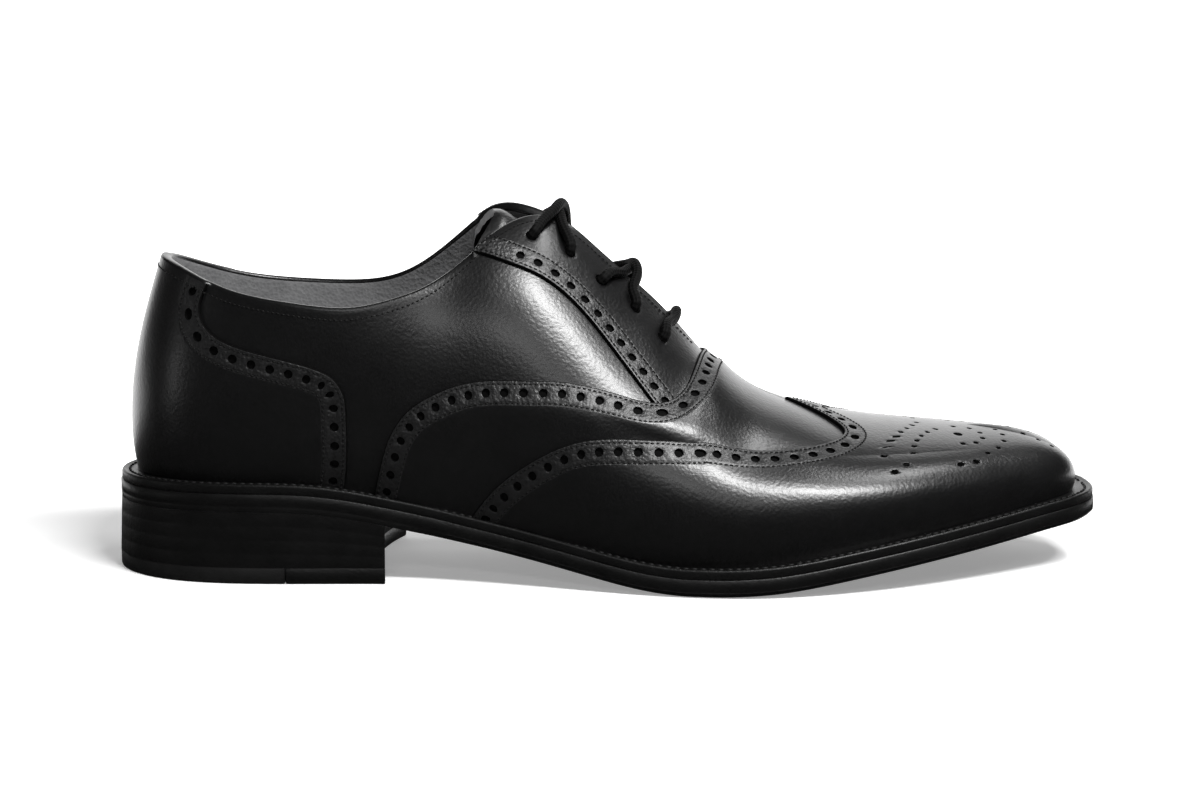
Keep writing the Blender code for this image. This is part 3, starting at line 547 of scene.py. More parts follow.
def girth(s, side):
    """Length of a section from the feather line to the top edge or the ridge."""
    return np.interp(s, STATIONS, GIRTH[side])


def smooth(x):
    """Soft step from 0 to 1."""
    x = np.clip(x, 0, 1)
    return x * x * (3 - 2 * x)


def chart_grid(s, v):
    """Chart points from rays and shares of the girth."""
    return np.stack(np.broadcast_arrays(s, v), -1)


def stepped(start, *stretches):
    """Numbers from start on, evenly spaced in each stretch, which is given by its end and its steps."""
    parts = [[start]]
    for end, steps in stretches:
        parts.append(np.linspace(start, end, steps + 1)[1:])
        start = end
    return np.concatenate(parts)


def grid(points, flip=False, look=0):
    """Patch of quads over a grid of points, with the number of their material."""
    rows, columns = points.shape[:2]
    index = np.arange(rows * columns).reshape(rows, columns)
    corners = [index[:-1, :-1], index[1:, :-1], index[1:, 1:], index[:-1, 1:]]
    if flip:
        corners.reverse()
    return points.reshape(-1, 3), np.stack([c.ravel() for c in corners], -1), look


def seat_points(points):
    """From millimetres at the heel's back to the frame's metres."""
    return (np.asarray(points) - MIDDLE) * 0.001


# Angle in degrees from which an edge shades as sharp, and distance in millimetres within which points
# are merged
SHARP_ANGLE = 50
MERGE_REACH = 0.01


def sew_in(name, patches, materials, replaces=(), merge=MERGE_REACH, uv=None):
    """Makes one piece from patches of points and faces, merges their shared borders and hands it over.

    uv holds one pair of numbers per point, kept as the piece's own UV map.
    """
    points, faces, looks, start = [], [], [], 0
    for verts, group, look in patches:
        points.append(verts)
        faces.extend((group + start).tolist())
        looks.append(np.full(len(group), look, np.int32))
        start += len(verts)
    mesh = bpy.data.meshes.new(name)
    mesh.from_pydata(seat_points(np.concatenate(points)), [], faces)
    mesh.polygons.foreach_set("material_index", np.concatenate(looks))
    if uv is not None:
        corners = np.zeros(len(mesh.loops), np.int32)
        mesh.loops.foreach_get("vertex_index", corners)
        mesh.uv_layers.new(name="along").data.foreach_set("uv", np.asarray(uv)[corners].ravel())
    for material in materials:
        mesh.materials.append(material)
    work = bmesh.new()
    work.from_mesh(mesh)
    bmesh.ops.remove_doubles(work, verts=work.verts, dist=merge * 0.001)
    bmesh.ops.dissolve_degenerate(work, edges=work.edges, dist=0.001 * 0.001)
    work.to_mesh(mesh)
    work.free()
    mesh.shade_smooth()
    mesh.set_sharp_from_angle(angle=np.radians(SHARP_ANGLE))
    piece = bpy.data.objects.new(name, mesh)
    bpy.context.scene.collection.objects.link(piece)
    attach(piece, "root")
    if replaces:
        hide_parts(*replaces)


def calf_finish(name, base, shine, grain=1.0, roughness=0.26):
    """Polished black calf: a fine pebbled grain and a slow unevenness of the polish and of the hide."""
    coat = {"Coat_Roughness": roughness + 0.01, "Coat_IOR": 1.45}
    made = Finish(name, base, 0.33, Specular_IOR_Level=0.5, **coat)
    hide = made.noise(34, 3, 0.5)
    polish = made.noise(150, 3, 0.55)
    pebble = made.noise(1000, 1, 0.4)
    made.colour(hide * 0.5 + polish * 0.5, scaled(base, 0.75), scaled(base, 1.3))
    made.drive("Roughness", roughness + polish * 0.08 + hide * 0.05)
    made.drive("Coat Weight", shine * (0.75 + polish * 0.5))
    made.relief(pebble * grain + hide * 3.0, 0.00006)
    return made.material


calf = calf_finish("black_box_calf", (0.0038, 0.0038, 0.0040), 0.30, 1.4)
lining = lining_finish("grey_lining_leather", (0.19, 0.19, 0.195), (0.38, 0.38, 0.385))

# Height of the panels over the quarters
PANEL = 1.2
# Rays of the slit's lower end and of the tops of the counter and the facings, and how far the top edge
# takes to climb on to either
SLIT_STOP = 0.5905
COUNTER_TOP, FACING_TOP = 0.1300, 0.3655
CROSSING = 0.006
# Share of the girth at which the leather's foot ends, under the feather line
FOOT = -0.015
ROLL_STEPS = 8


def cover(s):
    """Height of the folded top edge: raised where the counter and the facings lie on the quarters."""
    behind = 1 - smooth((s - COUNTER_TOP) / CROSSING + 0.5)
    ahead = smooth((s - FACING_TOP) / CROSSING + 0.5)
    return (PANEL - 0.03) * (behind + ahead)


def rolled_edge(s, side):
    """Half round over the wall's thickness, from the outer face over the top edge to the lining."""
    chart = chart_grid(s, 1.0)
    outer = cover(s)
    low = on_last(chart, side)
    normal = on_last(chart, side, 1.0) - low
    up = unit(low - on_last(chart - (0, 0.01), side))
    middle, half = (outer - UPPER_WALL) / 2, (outer + UPPER_WALL) / 2
    swell = 1.15 - 0.75 * smooth((s - 0.40) / 0.06)
    swell = swell * (1 - smooth((s - SLIT_END + 0.012) / 0.014))
    turn = np.linspace(0, np.pi, ROLL_STEPS + 1)
    out = (middle[:, None] + half[:, None] * np.cos(turn))[..., None] * normal[:, None]
    return low[:, None] + out + (swell[:, None] * np.sin(turn))[..., None] * up[:, None]


quarter_rays = stepped(S_HEEL, (SLIT_STOP, 189), (TOE_BEND, 19), (S_TOE, 39))
for crossing in (COUNTER_TOP, FACING_TOP):
    quarter_rays = np.union1d(quarter_rays, crossing + CROSSING * np.linspace(-0.5, 0.5, 5))
quarter_shares = np.linspace(FOOT, 1, 48)
open_rays = quarter_rays[quarter_rays <= SLIT_STOP + 1e-9]
quarter_chart = chart_grid(quarter_rays[:, None], quarter_shares[None])


def quarter_patches():
    """Both quarters: outer face, lining, the folded edge between them, and a strip under the feather."""
    outer, inner, rolls = {}, {}, {}
    for side in (-1, 1):
        outer[side] = on_last(quarter_chart, side)
        edge = cover(quarter_rays) * (quarter_rays <= SLIT_STOP)
        outer[side][:, -1] = on_last(quarter_chart[:, -1], side, edge)
        inner[side] = on_last(quarter_chart, side, -UPPER_WALL)
        rolls[side] = rolled_edge(open_rays, side)
    closed = quarter_rays >= SLIT_STOP - 1e-9
    for faces in (outer, inner):
        ridge = (faces[-1][closed, -1] + faces[1][closed, -1]) / 2
        faces[-1][closed, -1] = faces[1][closed, -1] = ridge
    patches = []
    t = np.linspace(0, 1, ROLL_STEPS + 1)[:, None]
    for side in (-1, 1):
        outer_top, inner_top = (faces[side][: len(open_rays), -1] for faces in (outer, inner))
        rolls[side][-1] = outer_top[-1] * (1 - t) + inner_top[-1] * t
        rolls[side][:, 0] = outer_top
        rolls[side][:, -1] = inner_top
        strip = np.stack([inner[side][:, 0], outer[side][:, 0]], 1)
        patches.append(grid(outer[side], side > 0))
        patches.append(grid(inner[side], side < 0, 1))
        patches.append(grid(rolls[side], side > 0))
        patches.append(grid(strip, side > 0))
    return patches


sew_in("quarters", quarter_patches(), [calf, lining], ["upper"])


# Stitching: black waxed thread in short lock stitches, pulled a little into the leather. The folded top
# edge carries one row all the way round the collar and down both sides of the slit.
STITCH_PITCH, STITCH_LONG, STITCH_WIDE = 1.6, 1.1, 0.56
EDGE_ROW = 2.75
# Rings of a stitch: share of its length from its middle, share of its width
STITCH_RINGS = [(-0.5, 0.0), (-0.36, 0.72), (0.0, 1.0), (0.36, 0.72), (0.5, 0.0)]
STITCH_AROUND = 6


def belt(number, around):
    """Quads between one ring of points and the next, where the rings are numbered one after another."""
    here = number * around + np.arange(around)
    after = number * around + (np.arange(around) + 1) % around
    return np.stack([here, after, after + around, here + around], -1)


def stitch_row(read, length, pitch=STITCH_PITCH, long=STITCH_LONG, wide=STITCH_WIDE):
    """Row of stitches as small spindles: read gives the point and the outward direction at a distance.

    Each spindle has five rings, closed at both tips, laid along the row's own direction.
    """
    count = max(int(length / pitch), 1)
    at = (np.arange(count) + 0.5) * pitch
    middle, normal = read(at)
    ahead = unit(read(at + 0.3)[0] - read(at - 0.3)[0])
    across = np.cross(normal, ahead)
    places, sizes = np.array(STITCH_RINGS).T
    turn = np.arange(STITCH_AROUND) * 2 * np.pi / STITCH_AROUND
    a = np.repeat(places * long, STITCH_AROUND)
    b = np.outer(sizes * wide / 2, np.cos(turn)).ravel()
    c = np.outer(sizes * wide / 2, np.sin(turn)).ravel()
    verts = (
        middle[:, None]
        + ahead[:, None] * a[None, :, None]
        + across[:, None] * b[None, :, None]
        + normal[:, None] * c[None, :, None]
    )
    one = np.concatenate([belt(k, STITCH_AROUND) for k in range(len(STITCH_RINGS) - 1)])[:, ::-1]
    faces = (one[None] + (np.arange(count) * len(a))[:, None, None]).reshape(-1, 4)
    return verts.reshape(-1, 3), faces, 0


def thread_finish():
    """Waxed linen thread with its fine twist."""
    made = Finish("waxed_thread", grey(0.005), 0.6, Specular_IOR_Level=0.22)
    twist = made.noise(2400, 2, 0.5)
    made.colour(twist, grey(0.003), grey(0.010))
    made.relief(twist, 0.00006)
    return made.material


thread = thread_finish()


def surface_row(chart, side, height):
    """Reader for a stitch row on the last: points and outward directions by distance along the row."""
    line = on_last(chart, side, height)
    outward = on_last(chart, side, np.asarray(height) + 1.0) - line
    run = run_of(line[None])[0]

    def read(at):
        return read_line(at, run, line), unit(read_line(at, run, outward))

    return read, run[-1]


collar_stitches = []
for side in (-1, 1):
    s = np.linspace(S_HEEL, SLIT_END - 0.004, 900)
    row_chart = chart_grid(s, 1 - EDGE_ROW / girth(s, side))
    row_height = PANEL * ((s < COUNTER_TOP) | (s > FACING_TOP + 0.004)) + 0.03
    collar_stitches.append(stitch_row(*surface_row(row_chart, side, row_height)))
sew_in("collar_stitching", collar_stitches, [thread])


# Edge bands: every overlay panel has a cut edge dyed black, a row of stitches beside it, a row of round
# punched holes whose floors are painted black as shade, and a second row of stitches. The band's calf
# holds less polish than the panel's.
GIRTH_UNIT = 85
HOLE_PITCH, HOLE_RADIUS, HOLE_DEPTH = 5.8, 1.32, 0.95
FIRST_ROW, HOLE_LINE, SECOND_ROW, BAND = 1.1, 3.7, 6.8, 7.3
CELL_HALF = 2.2
MITRE_REACH = 11.0
# Distance from the cut edge and depth below the panel's face: the dyed cut, then up to the holes, and
# then behind them
CUT_PROFILE = [(0.0, 9.0), (0.02, 0.42), (0.10, 0.16), (0.28, 0.03)]
OUTER_PROFILE = [(0.28, 0.03), (0.75, 0.0), (FIRST_ROW, 0.10), (1.5, 0.0)]
INNER_PROFILE = [(5.9, 0.0), (6.45, 0.0), (SECOND_ROW, 0.10), (BAND, 0.0)]
# Rings of a hole: distance outside its radius, depth
HOLE_RINGS = [(0.26, 0.0), (0.03, 0.07), (-0.10, HOLE_DEPTH)]
HOLE_AROUND = 16
# Height at which a panel's cut edge ends, under the face of the leather below
HEM_SINK = -0.25


def seam(points):
    """Panel edge as a chart line, by its share of length measured flat."""
    p = np.array(points) * (LENGTH, GIRTH_UNIT)
    knots = run_of(p[None])[0]
    knots /= knots[-1]
    read = [spline(np.column_stack([knots, p[:, k]]), 1) for k in (0, 1)]
    return lambda t: np.stack([read[0](t) / LENGTH, read[1](t) / GIRTH_UNIT], -1)


def dye_and_hole_shade_finish():
    """Black edge dye on the cut leather, dull and a little fibrous; on the floors of the holes it is
    painted shade.
    """
    made = Finish("black_edge_dye_and_hole_shade", grey(0.002), 0.7, Specular_IOR_Level=0.05)
    fibres = made.noise(1500, 2, 0.6)
    made.colour(fibres, grey(0.0015), grey(0.003))
    made.drive("Roughness", 0.6 + fibres * 0.15)
    return made.material


# Calf of the punched bands: rougher, more grained and more coated than the panel's, with a lighter base
# colour that is painted sheen for the light the bands catch.
band_calf_painted_sheen = calf_finish("punched_band_calf_painted_sheen", (0.0060, 0.0060, 0.0062), 0.45, 6.0, 0.36)
# Materials of a panel and their numbers
PANEL_LOOKS = [calf, dye_and_hole_shade_finish(), band_calf_painted_sheen]
# The dye look also blackens the floors of the punched holes as painted shade.
CUT_AND_HOLE_SHADE_LOOK, BAND_LOOK = 1, 2


class EdgeLine:
    """A panel's cut edge on one side of the last, read by distance along it and distance into the panel.

    turn is 1 where the panel lies to the left of the edge on the chart, and -1 to its right. The step
    into the panel is square to the edge in the leather's surface: its chart step solves
    ds * P_s + dv * P_v = normal x tangent. At a mitred end it leans to run along the border.
    """

    def __init__(self, points, side, turn, mitre=(True, True)):
        self.side, self.turn = side, turn
        self.flip = (side > 0) != (turn < 0)
        chart = seam(points)(np.linspace(0, 1, 1601))
        here = on_last(chart, side)
        run = run_of(here[None])[0]
        near = 0.003
        ds = (on_last(chart + (near, 0), side) - on_last(chart - (near, 0), side)) / (2 * near)
        dv = (on_last(chart, side) - on_last(chart - (0, near), side)) / near
        ahead = np.gradient(here, run, axis=0)
        inside = unit(np.cross(unit(np.cross(ds, dv)), ahead) * turn)
        ss, sv, vv = (ds * ds).sum(1), (ds * dv).sum(1), (dv * dv).sum(1)
        rs, rv = (inside * ds).sum(1), (inside * dv).sum(1)
        step = np.stack([vv * rs - sv * rv, ss * rv - sv * rs], -1) / (ss * vv - sv**2)[:, None]
        chart_ahead = np.gradient(chart, run, axis=0)
        for end, wanted in zip((0, -1), mitre):
            if wanted:
                lean = -step[end, 1] / chart_ahead[end, 1]
                share = smooth(1 - np.abs(run - run[end]) / MITRE_REACH)
                step = step + (share * lean)[:, None] * chart_ahead
        self.run, self.chart, self.step, self.length = run, chart, step, run[-1]

    def read(self, u, d):
        """Chart points at distances u along the edge and d into the panel."""
        u, d = np.broadcast_arrays(np.asarray(u, float), np.asarray(d, float))
        return read_line(u, self.run, self.chart) + d[..., None] * read_line(u, self.run, self.step)


def no_fullness(chart):
    return np.zeros(chart.shape[:-1])


def hole_band(edge, height, plain=0, swell=0.0, fullness=no_fullness):
    """Edge band of a panel: the cut edge, a stitch dip, a row of hole cells and the second stitch dip.

    Each hole is a square cell of sixteen border points, a ring round the hole, its rim, its foot and its
    middle. height is the panel's face above the quarters by distance along the edge, and swell how much
    higher the leather lies at the band's inner line, as its edge is skived thin; fullness adds to both by
    place. plain gives how many cells stay unpunched at the start. Also returns the distances along the
    edge of the columns of points, and the points on the band's inner line.
    """
    cells = int(round(edge.length / HOLE_PITCH))
    wide = edge.length / cells
    u = np.linspace(0, edge.length, 4 * cells + 1)

    def lay(u, d, drop):
        chart = edge.read(u, d)
        top = height(u) + swell * np.asarray(d) / BAND + fullness(chart)
        return on_last(chart, edge.side, np.maximum(top - drop, HEM_SINK))

    patches = []
    for profile, look in ((CUT_PROFILE, CUT_AND_HOLE_SHADE_LOOK), (OUTER_PROFILE, BAND_LOOK), (INNER_PROFILE, BAND_LOOK)):
        d, drop = np.array(profile).T
        patches.append(grid(lay(u[:, None], d[None], drop[None]), edge.flip, look))
    half = np.full(HOLE_AROUND // 4, 0.5)
    q = np.arange(HOLE_AROUND // 4) * 4 / HOLE_AROUND - 0.5
    sides = ((q, -half), (half, q), (-q, half), (-half, -q))
    square = np.concatenate([np.stack(side, -1) for side in sides])
    angle = np.arange(HOLE_AROUND) * 2 * np.pi / HOLE_AROUND - 0.75 * np.pi
    circle = np.stack([np.cos(angle), np.sin(angle)], -1)
    rings = [(square * (wide, 2 * CELL_HALF), 0.0)]
    rings += [(circle * (HOLE_RADIUS + size), drop) for size, drop in HOLE_RINGS]
    rings.append((np.zeros((1, 2)), HOLE_DEPTH))
    local = np.concatenate([ring for ring, _ in rings])
    depth = np.concatenate([np.full(len(ring), drop) for ring, drop in rings])
    punched = np.arange(cells) >= plain
    middle = (np.arange(cells) + 0.5) * wide
    along = middle[:, None] + local[None, :, 0]
    points = lay(along, HOLE_LINE + local[None, :, 1], punched[:, None] * depth[None])
    belts = [belt(k, HOLE_AROUND) for k in range(len(HOLE_RINGS))]
    foot = belt(len(HOLE_RINGS), HOLE_AROUND)[:, :2]
    belts.append(np.column_stack([foot, np.full(HOLE_AROUND, len(local) - 1)]))
    base = (np.arange(cells) * len(local))[:, None, None]
    # The wall and floor of a punched hole take the black dye: the wall is dyed cut leather, the floor's
    # black is painted shade.
    for faces, cut in zip(belts, (False, False, True, True)):
        faces = faces[:, ::-1] if edge.flip else faces
        look = np.repeat(np.where(cut & punched, CUT_AND_HOLE_SHADE_LOOK, BAND_LOOK), HOLE_AROUND)
        patches.append((points.reshape(-1, 3), (faces[None] + base).reshape(-1, faces.shape[1]), look))
    return patches, u, lay(u, np.full(len(u), BAND), 0.0)


def band_stitches(edge, height, swell=0.0, fullness=no_fullness):
    """The two stitch rows of an edge band."""
    rows = []
    for d in (FIRST_ROW, SECOND_ROW):
        u = np.linspace(0, edge.length, 900)
        chart = edge.read(u, d)
        top = height(u) + swell * d / BAND + fullness(chart)
        rows.append(stitch_row(*surface_row(chart, edge.side, top)))
    return rows


# Heel counter: one piece of calf round the back of the heel, from the welt to the top edge, sewn over
# the quarters.
COUNTER_EDGE = [
    (0.2395, FOOT),
    (0.244, 0.20),
    (0.244, 0.41),
    (0.241, 0.55),
    (0.228, 0.64),
    (0.204, 0.685),
    (0.168, 0.72),
    (0.141, 0.76),
    (0.129, 0.82),
    (0.126, 0.90),
    (0.130, 1.00),
]


def level(height):
    """Height of a panel's face that is the same all along its edge."""
    return lambda u: np.full(np.shape(u), height)


def ruled(edge, u, target, across):
    """Chart points on straight rulings from the band's inner line to a target line."""
    first = edge.read(u, np.full(len(u), BAND))
    return first[:, None] * (1 - across)[None, :, None] + target[:, None] * across[None, :, None]


counter_patches, counter_rows = [], []
for side in (-1, 1):
    edge = EdgeLine(COUNTER_EDGE, side, 1)
    band, u, last_row = hole_band(edge, level(PANEL))
    share = u / edge.length
    back = chart_grid(S_HEEL, FOOT + (1 - FOOT) * share)
    inside = on_last(ruled(edge, u, back, np.linspace(0, 1, 26)), side, PANEL)
    inside[:, 0] = last_row
    counter_patches += band + [grid(inside, edge.flip)]
    counter_rows += band_stitches(edge, level(PANEL))
sew_in("heel_counter_panel", counter_patches, PANEL_LOOKS, ["heel_counter"])
sew_in("counter_stitching", counter_rows, [thread])

# Facings: the lacing panels, one on each side of the slit. Each has five punched lace holes.
FACING_EDGE = [
    (0.3655, 1.00),
    (0.385, 0.905),
    (0.406, 0.826),
    (0.448, 0.738),
    (0.480, 0.690),
    (0.508, 0.625),
    (0.541, 0.527),
    (0.549, 0.500),
]
FACING_END = 0.602
# Ray and distance from the middle line of each lace hole
LACE_HOLES = [(0.422, 15.5), (0.459, 14.3), (0.489, 15.5), (0.524, 14.7), (0.551, 17.5)]
LACE_HOLE_RADIUS, LACE_HOLE_DEPTH = 1.9, 1.3
# Cells of the band that stay unpunched by the collar
FACING_PLAIN = 2


def half_opening(s, side):
    """Half the width of the slit or collar at a ray."""
    return COLLAR_HALF * np.clip(spline(TOP, table_column(side))(s), 0, None)


# How near to a circle points move on to it, and how far its rim is pressed in
RIM_REACH, RIM_DROP = 0.32, 0.06


def punch(points, centres, radii, depth):
    """Punches round holes into a fine grid: points near each circle move onto it, those inside sink.

    centres are points on the surface with their outward directions. Also returns the material number of
    each face, which inside a hole is the black edge dye: cut leather on its wall, painted shade on its
    floor.
    """
    cut = np.zeros(points.shape[:2], bool)
    for (centre, normal), radius in zip(centres, radii):
        offset = points - centre
        offset = offset - (offset @ normal)[..., None] * normal
        distance = np.linalg.norm(points - centre, axis=-1)
        near = np.abs(distance - radius) < RIM_REACH
        inside = distance <= radius - RIM_REACH
        across = np.linalg.norm(offset, axis=-1)
        across = np.where(across > 1e-6, across, 1)
        rim = points + offset * ((radius / across) - 1)[..., None] - normal * RIM_DROP
        spread = np.where(distance > radius * 0.35, 0.80 * radius / across, 1.0)
        low = points + offset * (np.minimum(spread, 1.25) - 1)[..., None] - normal * depth
        points = np.where(near[..., None], rim, np.where(inside[..., None], low, points))
        cut |= inside
    # Faces inside a hole take the black dye, which on the hole's floor is painted shade.
    look = cut[:-1, :-1] | cut[1:, :-1] | cut[1:, 1:] | cut[:-1, 1:]
    return points, look.ravel() * CUT_AND_HOLE_SHADE_LOOK


def eased(points, share):
    """First column taken from a coarser line by distance, so that both borders touch."""
    return read_line(share, np.linspace(0, 1, len(points)), points)


facing_rows = []
for side, name in ((-1, "lateral"), (1, "medial")):
    edge = EdgeLine(FACING_EDGE, side, 1, (False, False))
    band, u, last_row = hole_band(edge, level(PANEL), FACING_PLAIN)
    start = edge.read(0.0, BAND)[0]
    share = np.linspace(0, 1, 150)
    top = chart_grid(start + (FACING_END - start) * share, 1.0)
    chart = ruled(edge, share * edge.length, top, np.linspace(0, 1, 46))
    inside = on_last(chart, side, PANEL)
    inside[:, 0] = eased(last_row, share)
    centres = []
    for s, across in LACE_HOLES:
        at = np.array([s, 1 - (across - half_opening(s, side)) / girth(s, side)])
        centre = on_last(at, side, PANEL)
        centres.append((centre, on_last(at, side, PANEL + 1) - centre))
    inside, look = punch(inside, centres, [LACE_HOLE_RADIUS] * len(centres), LACE_HOLE_DEPTH)
    patches = band + [grid(inside, edge.flip, look)]
    sew_in("facing_panel_" + name, patches, PANEL_LOOKS, ["facing_" + name])
    facing_rows += band_stitches(edge, level(PANEL))
sew_in("facing_stitching", facing_rows, [thread])

# Vamp: the front of the upper between the facings and the wing cap, sewn over both quarters and over
# the foot of the facings.
VAMP_EDGE = [
    (0.2685, FOOT),
    (0.279, 0.22),
    (0.292, 0.38),
    (0.314, 0.48),
    (0.345, 0.51),
    (0.376, 0.485),
    (0.424, 0.445),
    (0.470, 0.465),
    (0.506, 0.492),
    (0.548, 0.530),
    (0.567, 0.610),
    (0.583, 0.800),
    (0.593, 1.000),
]
CAP_EDGE = [
    (0.3635, FOOT),
    (0.387, 0.11),
    (0.420, 0.20),
    (0.452, 0.265),
    (0.480, 0.315),
    (0.507, 0.35),
    (0.536, 0.38),
    (0.583, 0.425),
    (0.633, 0.448),
    (0.668, 0.467),
    (0.705, 0.515),
    (0.726, 0.59),
    (0.733, 0.67),
    (0.728, 0.76),
    (0.708, 0.89),
    (0.680, 1.00),
]
# Height of the vamp's face, and where it lies over the facings
VAMP_FACE, VAMP_OVER_FACING = 1.4, 2.15
# How the rulings gather towards the welt, how full the leather stands behind the band, and how far the
# vamp reaches under the cap
VAMP_PULL = 1.8
VAMP_SWELL = 1.3
UNDER_CAP = 3.5

vamp_patches, vamp_rows = [], []
cap_edges = {side: EdgeLine(CAP_EDGE, side, -1) for side in (-1, 1)}
for side in (-1, 1):
    edge = EdgeLine(VAMP_EDGE, side, -1)

    def vamp_height(u, total=edge.length):
        return VAMP_FACE + (VAMP_OVER_FACING - VAMP_FACE) * smooth((u / total - 0.58) / 0.16)

    band, u, last_row = hole_band(edge, vamp_height, swell=VAMP_SWELL)
    share = u / edge.length
    cap = cap_edges[side]
    target = cap.read(cap.length * share**VAMP_PULL, UNDER_CAP)
    across = np.linspace(0, 1, 34)
    sink = smooth(across)[None]
    height = (vamp_height(u)[:, None] + VAMP_SWELL) * (1 - sink) + VAMP_FACE * sink
    inside = on_last(ruled(edge, u, target, across), side, height)
    inside[:, 0] = last_row
    vamp_patches += band + [grid(inside, edge.flip)]
    vamp_rows += band_stitches(edge, vamp_height, VAMP_SWELL)
sew_in("vamp_panel", vamp_patches, PANEL_LOOKS, ["vamp"])
sew_in("vamp_stitching", vamp_rows, [thread])

# Wing cap: the toe piece, with wings that run back to the welt and a peak on the middle line. Its edge
# is punched like the others and its toe carries the traditional medallion.
CAP_FACE = 2.6
CAP_FULL = 1.3
# Medallion on one side of the middle line: distance from the heel's back, distance from the middle line
# and radius of each hole; those on the middle line are listed once.
MEDALLION = [
    (263.7, 14.5, 1.5),
    (264.0, 22.0, 0.9),
    (268.4, 20.0, 0.9),
    (271.2, 15.6, 0.9),
    (271.3, 10.6, 0.9),
    (268.6, 6.6, 0.9),
    (263.6, 6.0, 0.9),
    (239.2, 30.6, 0.85),
    (241.2, 26.6, 0.85),
    (243.2, 22.4, 0.85),
    (245.3, 18.0, 0.85),
    (247.8, 13.4, 0.85),
    (250.2, 9.0, 0.85),
    (252.2, 4.4, 0.85),
    (247.0, 32.2, 0.85),
    (247.9, 28.0, 0.85),
    (249.4, 23.8, 0.85),
    (251.4, 19.6, 0.85),
    (254.0, 15.4, 0.85),
    (257.2, 11.4, 0.85),
    (271.1, 25.2, 0.85),
    (275.2, 20.8, 0.85),
    (278.0, 15.4, 0.85),
    (278.6, 9.8, 0.85),
    (277.2, 4.6, 0.85),
    (286.0, 5.0, 0.85),
    (290.4, 7.6, 0.85),
    (294.4, 9.2, 0.85),
    (237.6, 36.2, 1.0),
    (244.0, 39.3, 1.05),
    (240.0, 43.2, 1.1),
    (261.4, 33.9, 1.05),
    (266.6, 30.9, 1.05),
]
MEDALLION_MIDDLE = [(282.4, 0.0, 0.85), (289.0, 0.0, 0.85)]
MEDALLION_DEPTH = 0.85
CAP_LINE = TOE_MIDDLE * BALL_WIDTH


def cap_fullness(chart):
    """How much fuller the lasted leather stands along the wings' shoulders, by place on the chart."""
    s, v = chart[..., 0], chart[..., 1]
    along = smooth((s - 0.40) / 0.12) * smooth((0.90 - s) / 0.15)
    return CAP_FULL * np.sin(np.pi * np.clip(v / 0.44, 0, 1)) * along


def nearest(points, normals, plan):
    """Point of a grid that is nearest to a place in plan, moved to that place, and its normal."""
    distance = np.hypot(points[..., 0] - plan[0], points[..., 1] - plan[1])
    at = np.unravel_index(np.argmin(distance), distance.shape)
    centre = points[at].copy()
    shift = plan[:2] - centre[:2]
    centre[:2] += shift
    centre[2] -= (normals[at][:2] @ shift) / normals[at][2]
    return centre, normals[at]


cap_patches, cap_rows = [], []
for side in (-1, 1):
    edge = cap_edges[side]
    band, u, last_row = hole_band(edge, level(CAP_FACE), fullness=cap_fullness)
    share = stepped(0, (0.28, 25), (1, 189))
    across = stepped(0, (0.14, 9), (0.86, 157), (1, 23))
    toe = chart_grid(S_TOE, FOOT + (1 - FOOT) * share)
    chart = ruled(edge, share * edge.length, toe, across)
    face = CAP_FACE + cap_fullness(chart)
    inside = on_last(chart, side, face)
    normals = on_last(chart, side, face + 1) - inside
    inside[:, 0] = eased(last_row, share)
    holes = [(x, CAP_LINE + side * y, radius) for x, y, radius in MEDALLION + MEDALLION_MIDDLE]
    centres = [nearest(inside, normals, hole) for hole in holes]
    inside, look = punch(inside, centres, [radius for _, _, radius in holes], MEDALLION_DEPTH)
    cap_patches += band + [grid(inside, edge.flip, look)]
    cap_rows += band_stitches(edge, level(CAP_FACE), fullness=cap_fullness)
sew_in("wing_cap_panel", cap_patches, PANEL_LOOKS, ["wing_cap"])
sew_in("cap_stitching", cap_rows, [thread])

# Tongue: a loose leaf of calf lined in grey, sewn in under the facings. Its raw top edge shows grey above
# the lacing.
TONGUE_THICK = 2.4
TONGUE_TOP, TONGUE_LOW = 0.384, 0.606
TONGUE_HALF_TOP, TONGUE_HALF_LOW = 29, 24
TONGUE_CORNER = 0.027
TONGUE_ROWS, TONGUE_COLUMNS = 90, 61
INSTEP_STEPS = 60


def instep(s, across, away):
    """Points over the instep by ray and by distance from its middle line, moved outwards by away.

    The section of both halves is closed over the slit by an arch that leaves either edge in the
    leather's own slope; the row is then read by distance from the middle of the slit.
    """
    v = np.linspace(0.45, 1, INSTEP_STEPS)
    sides = [on_last(chart_grid(s[:, None], v[None]), side) for side in (-1, 1)]
    left, right = sides[0][:, -1], sides[1][:, -1]
    gap = right[:, 1] - left[:, 1]
    slopes = [(p[:, -1, 2] - p[:, -4, 2]) / np.abs(p[:, -1, 1] - p[:, -4, 1]) for p in sides]
    t = np.linspace(0, 1, 15)[1:-1]
    arch = left[:, None] + (right - left)[:, None] * t[None, :, None]
    bow = slopes[0][:, None] * t * (1 - t) ** 2 + slopes[1][:, None] * (1 - t) * t**2
    arch[..., 2] += gap[:, None] * bow
    line = np.concatenate([sides[0], arch, sides[1][:, ::-1]], 1)
    run = run_of(line)
    centre = (run[:, INSTEP_STEPS - 1] + run[:, -INSTEP_STEPS]) / 2
    points = read_runs(line, run, centre[:, None] + np.asarray(across))
    along, over = np.gradient(points, axis=(0, 1))
    return points + unit(np.cross(along, over)) * np.asarray(away)[..., None]


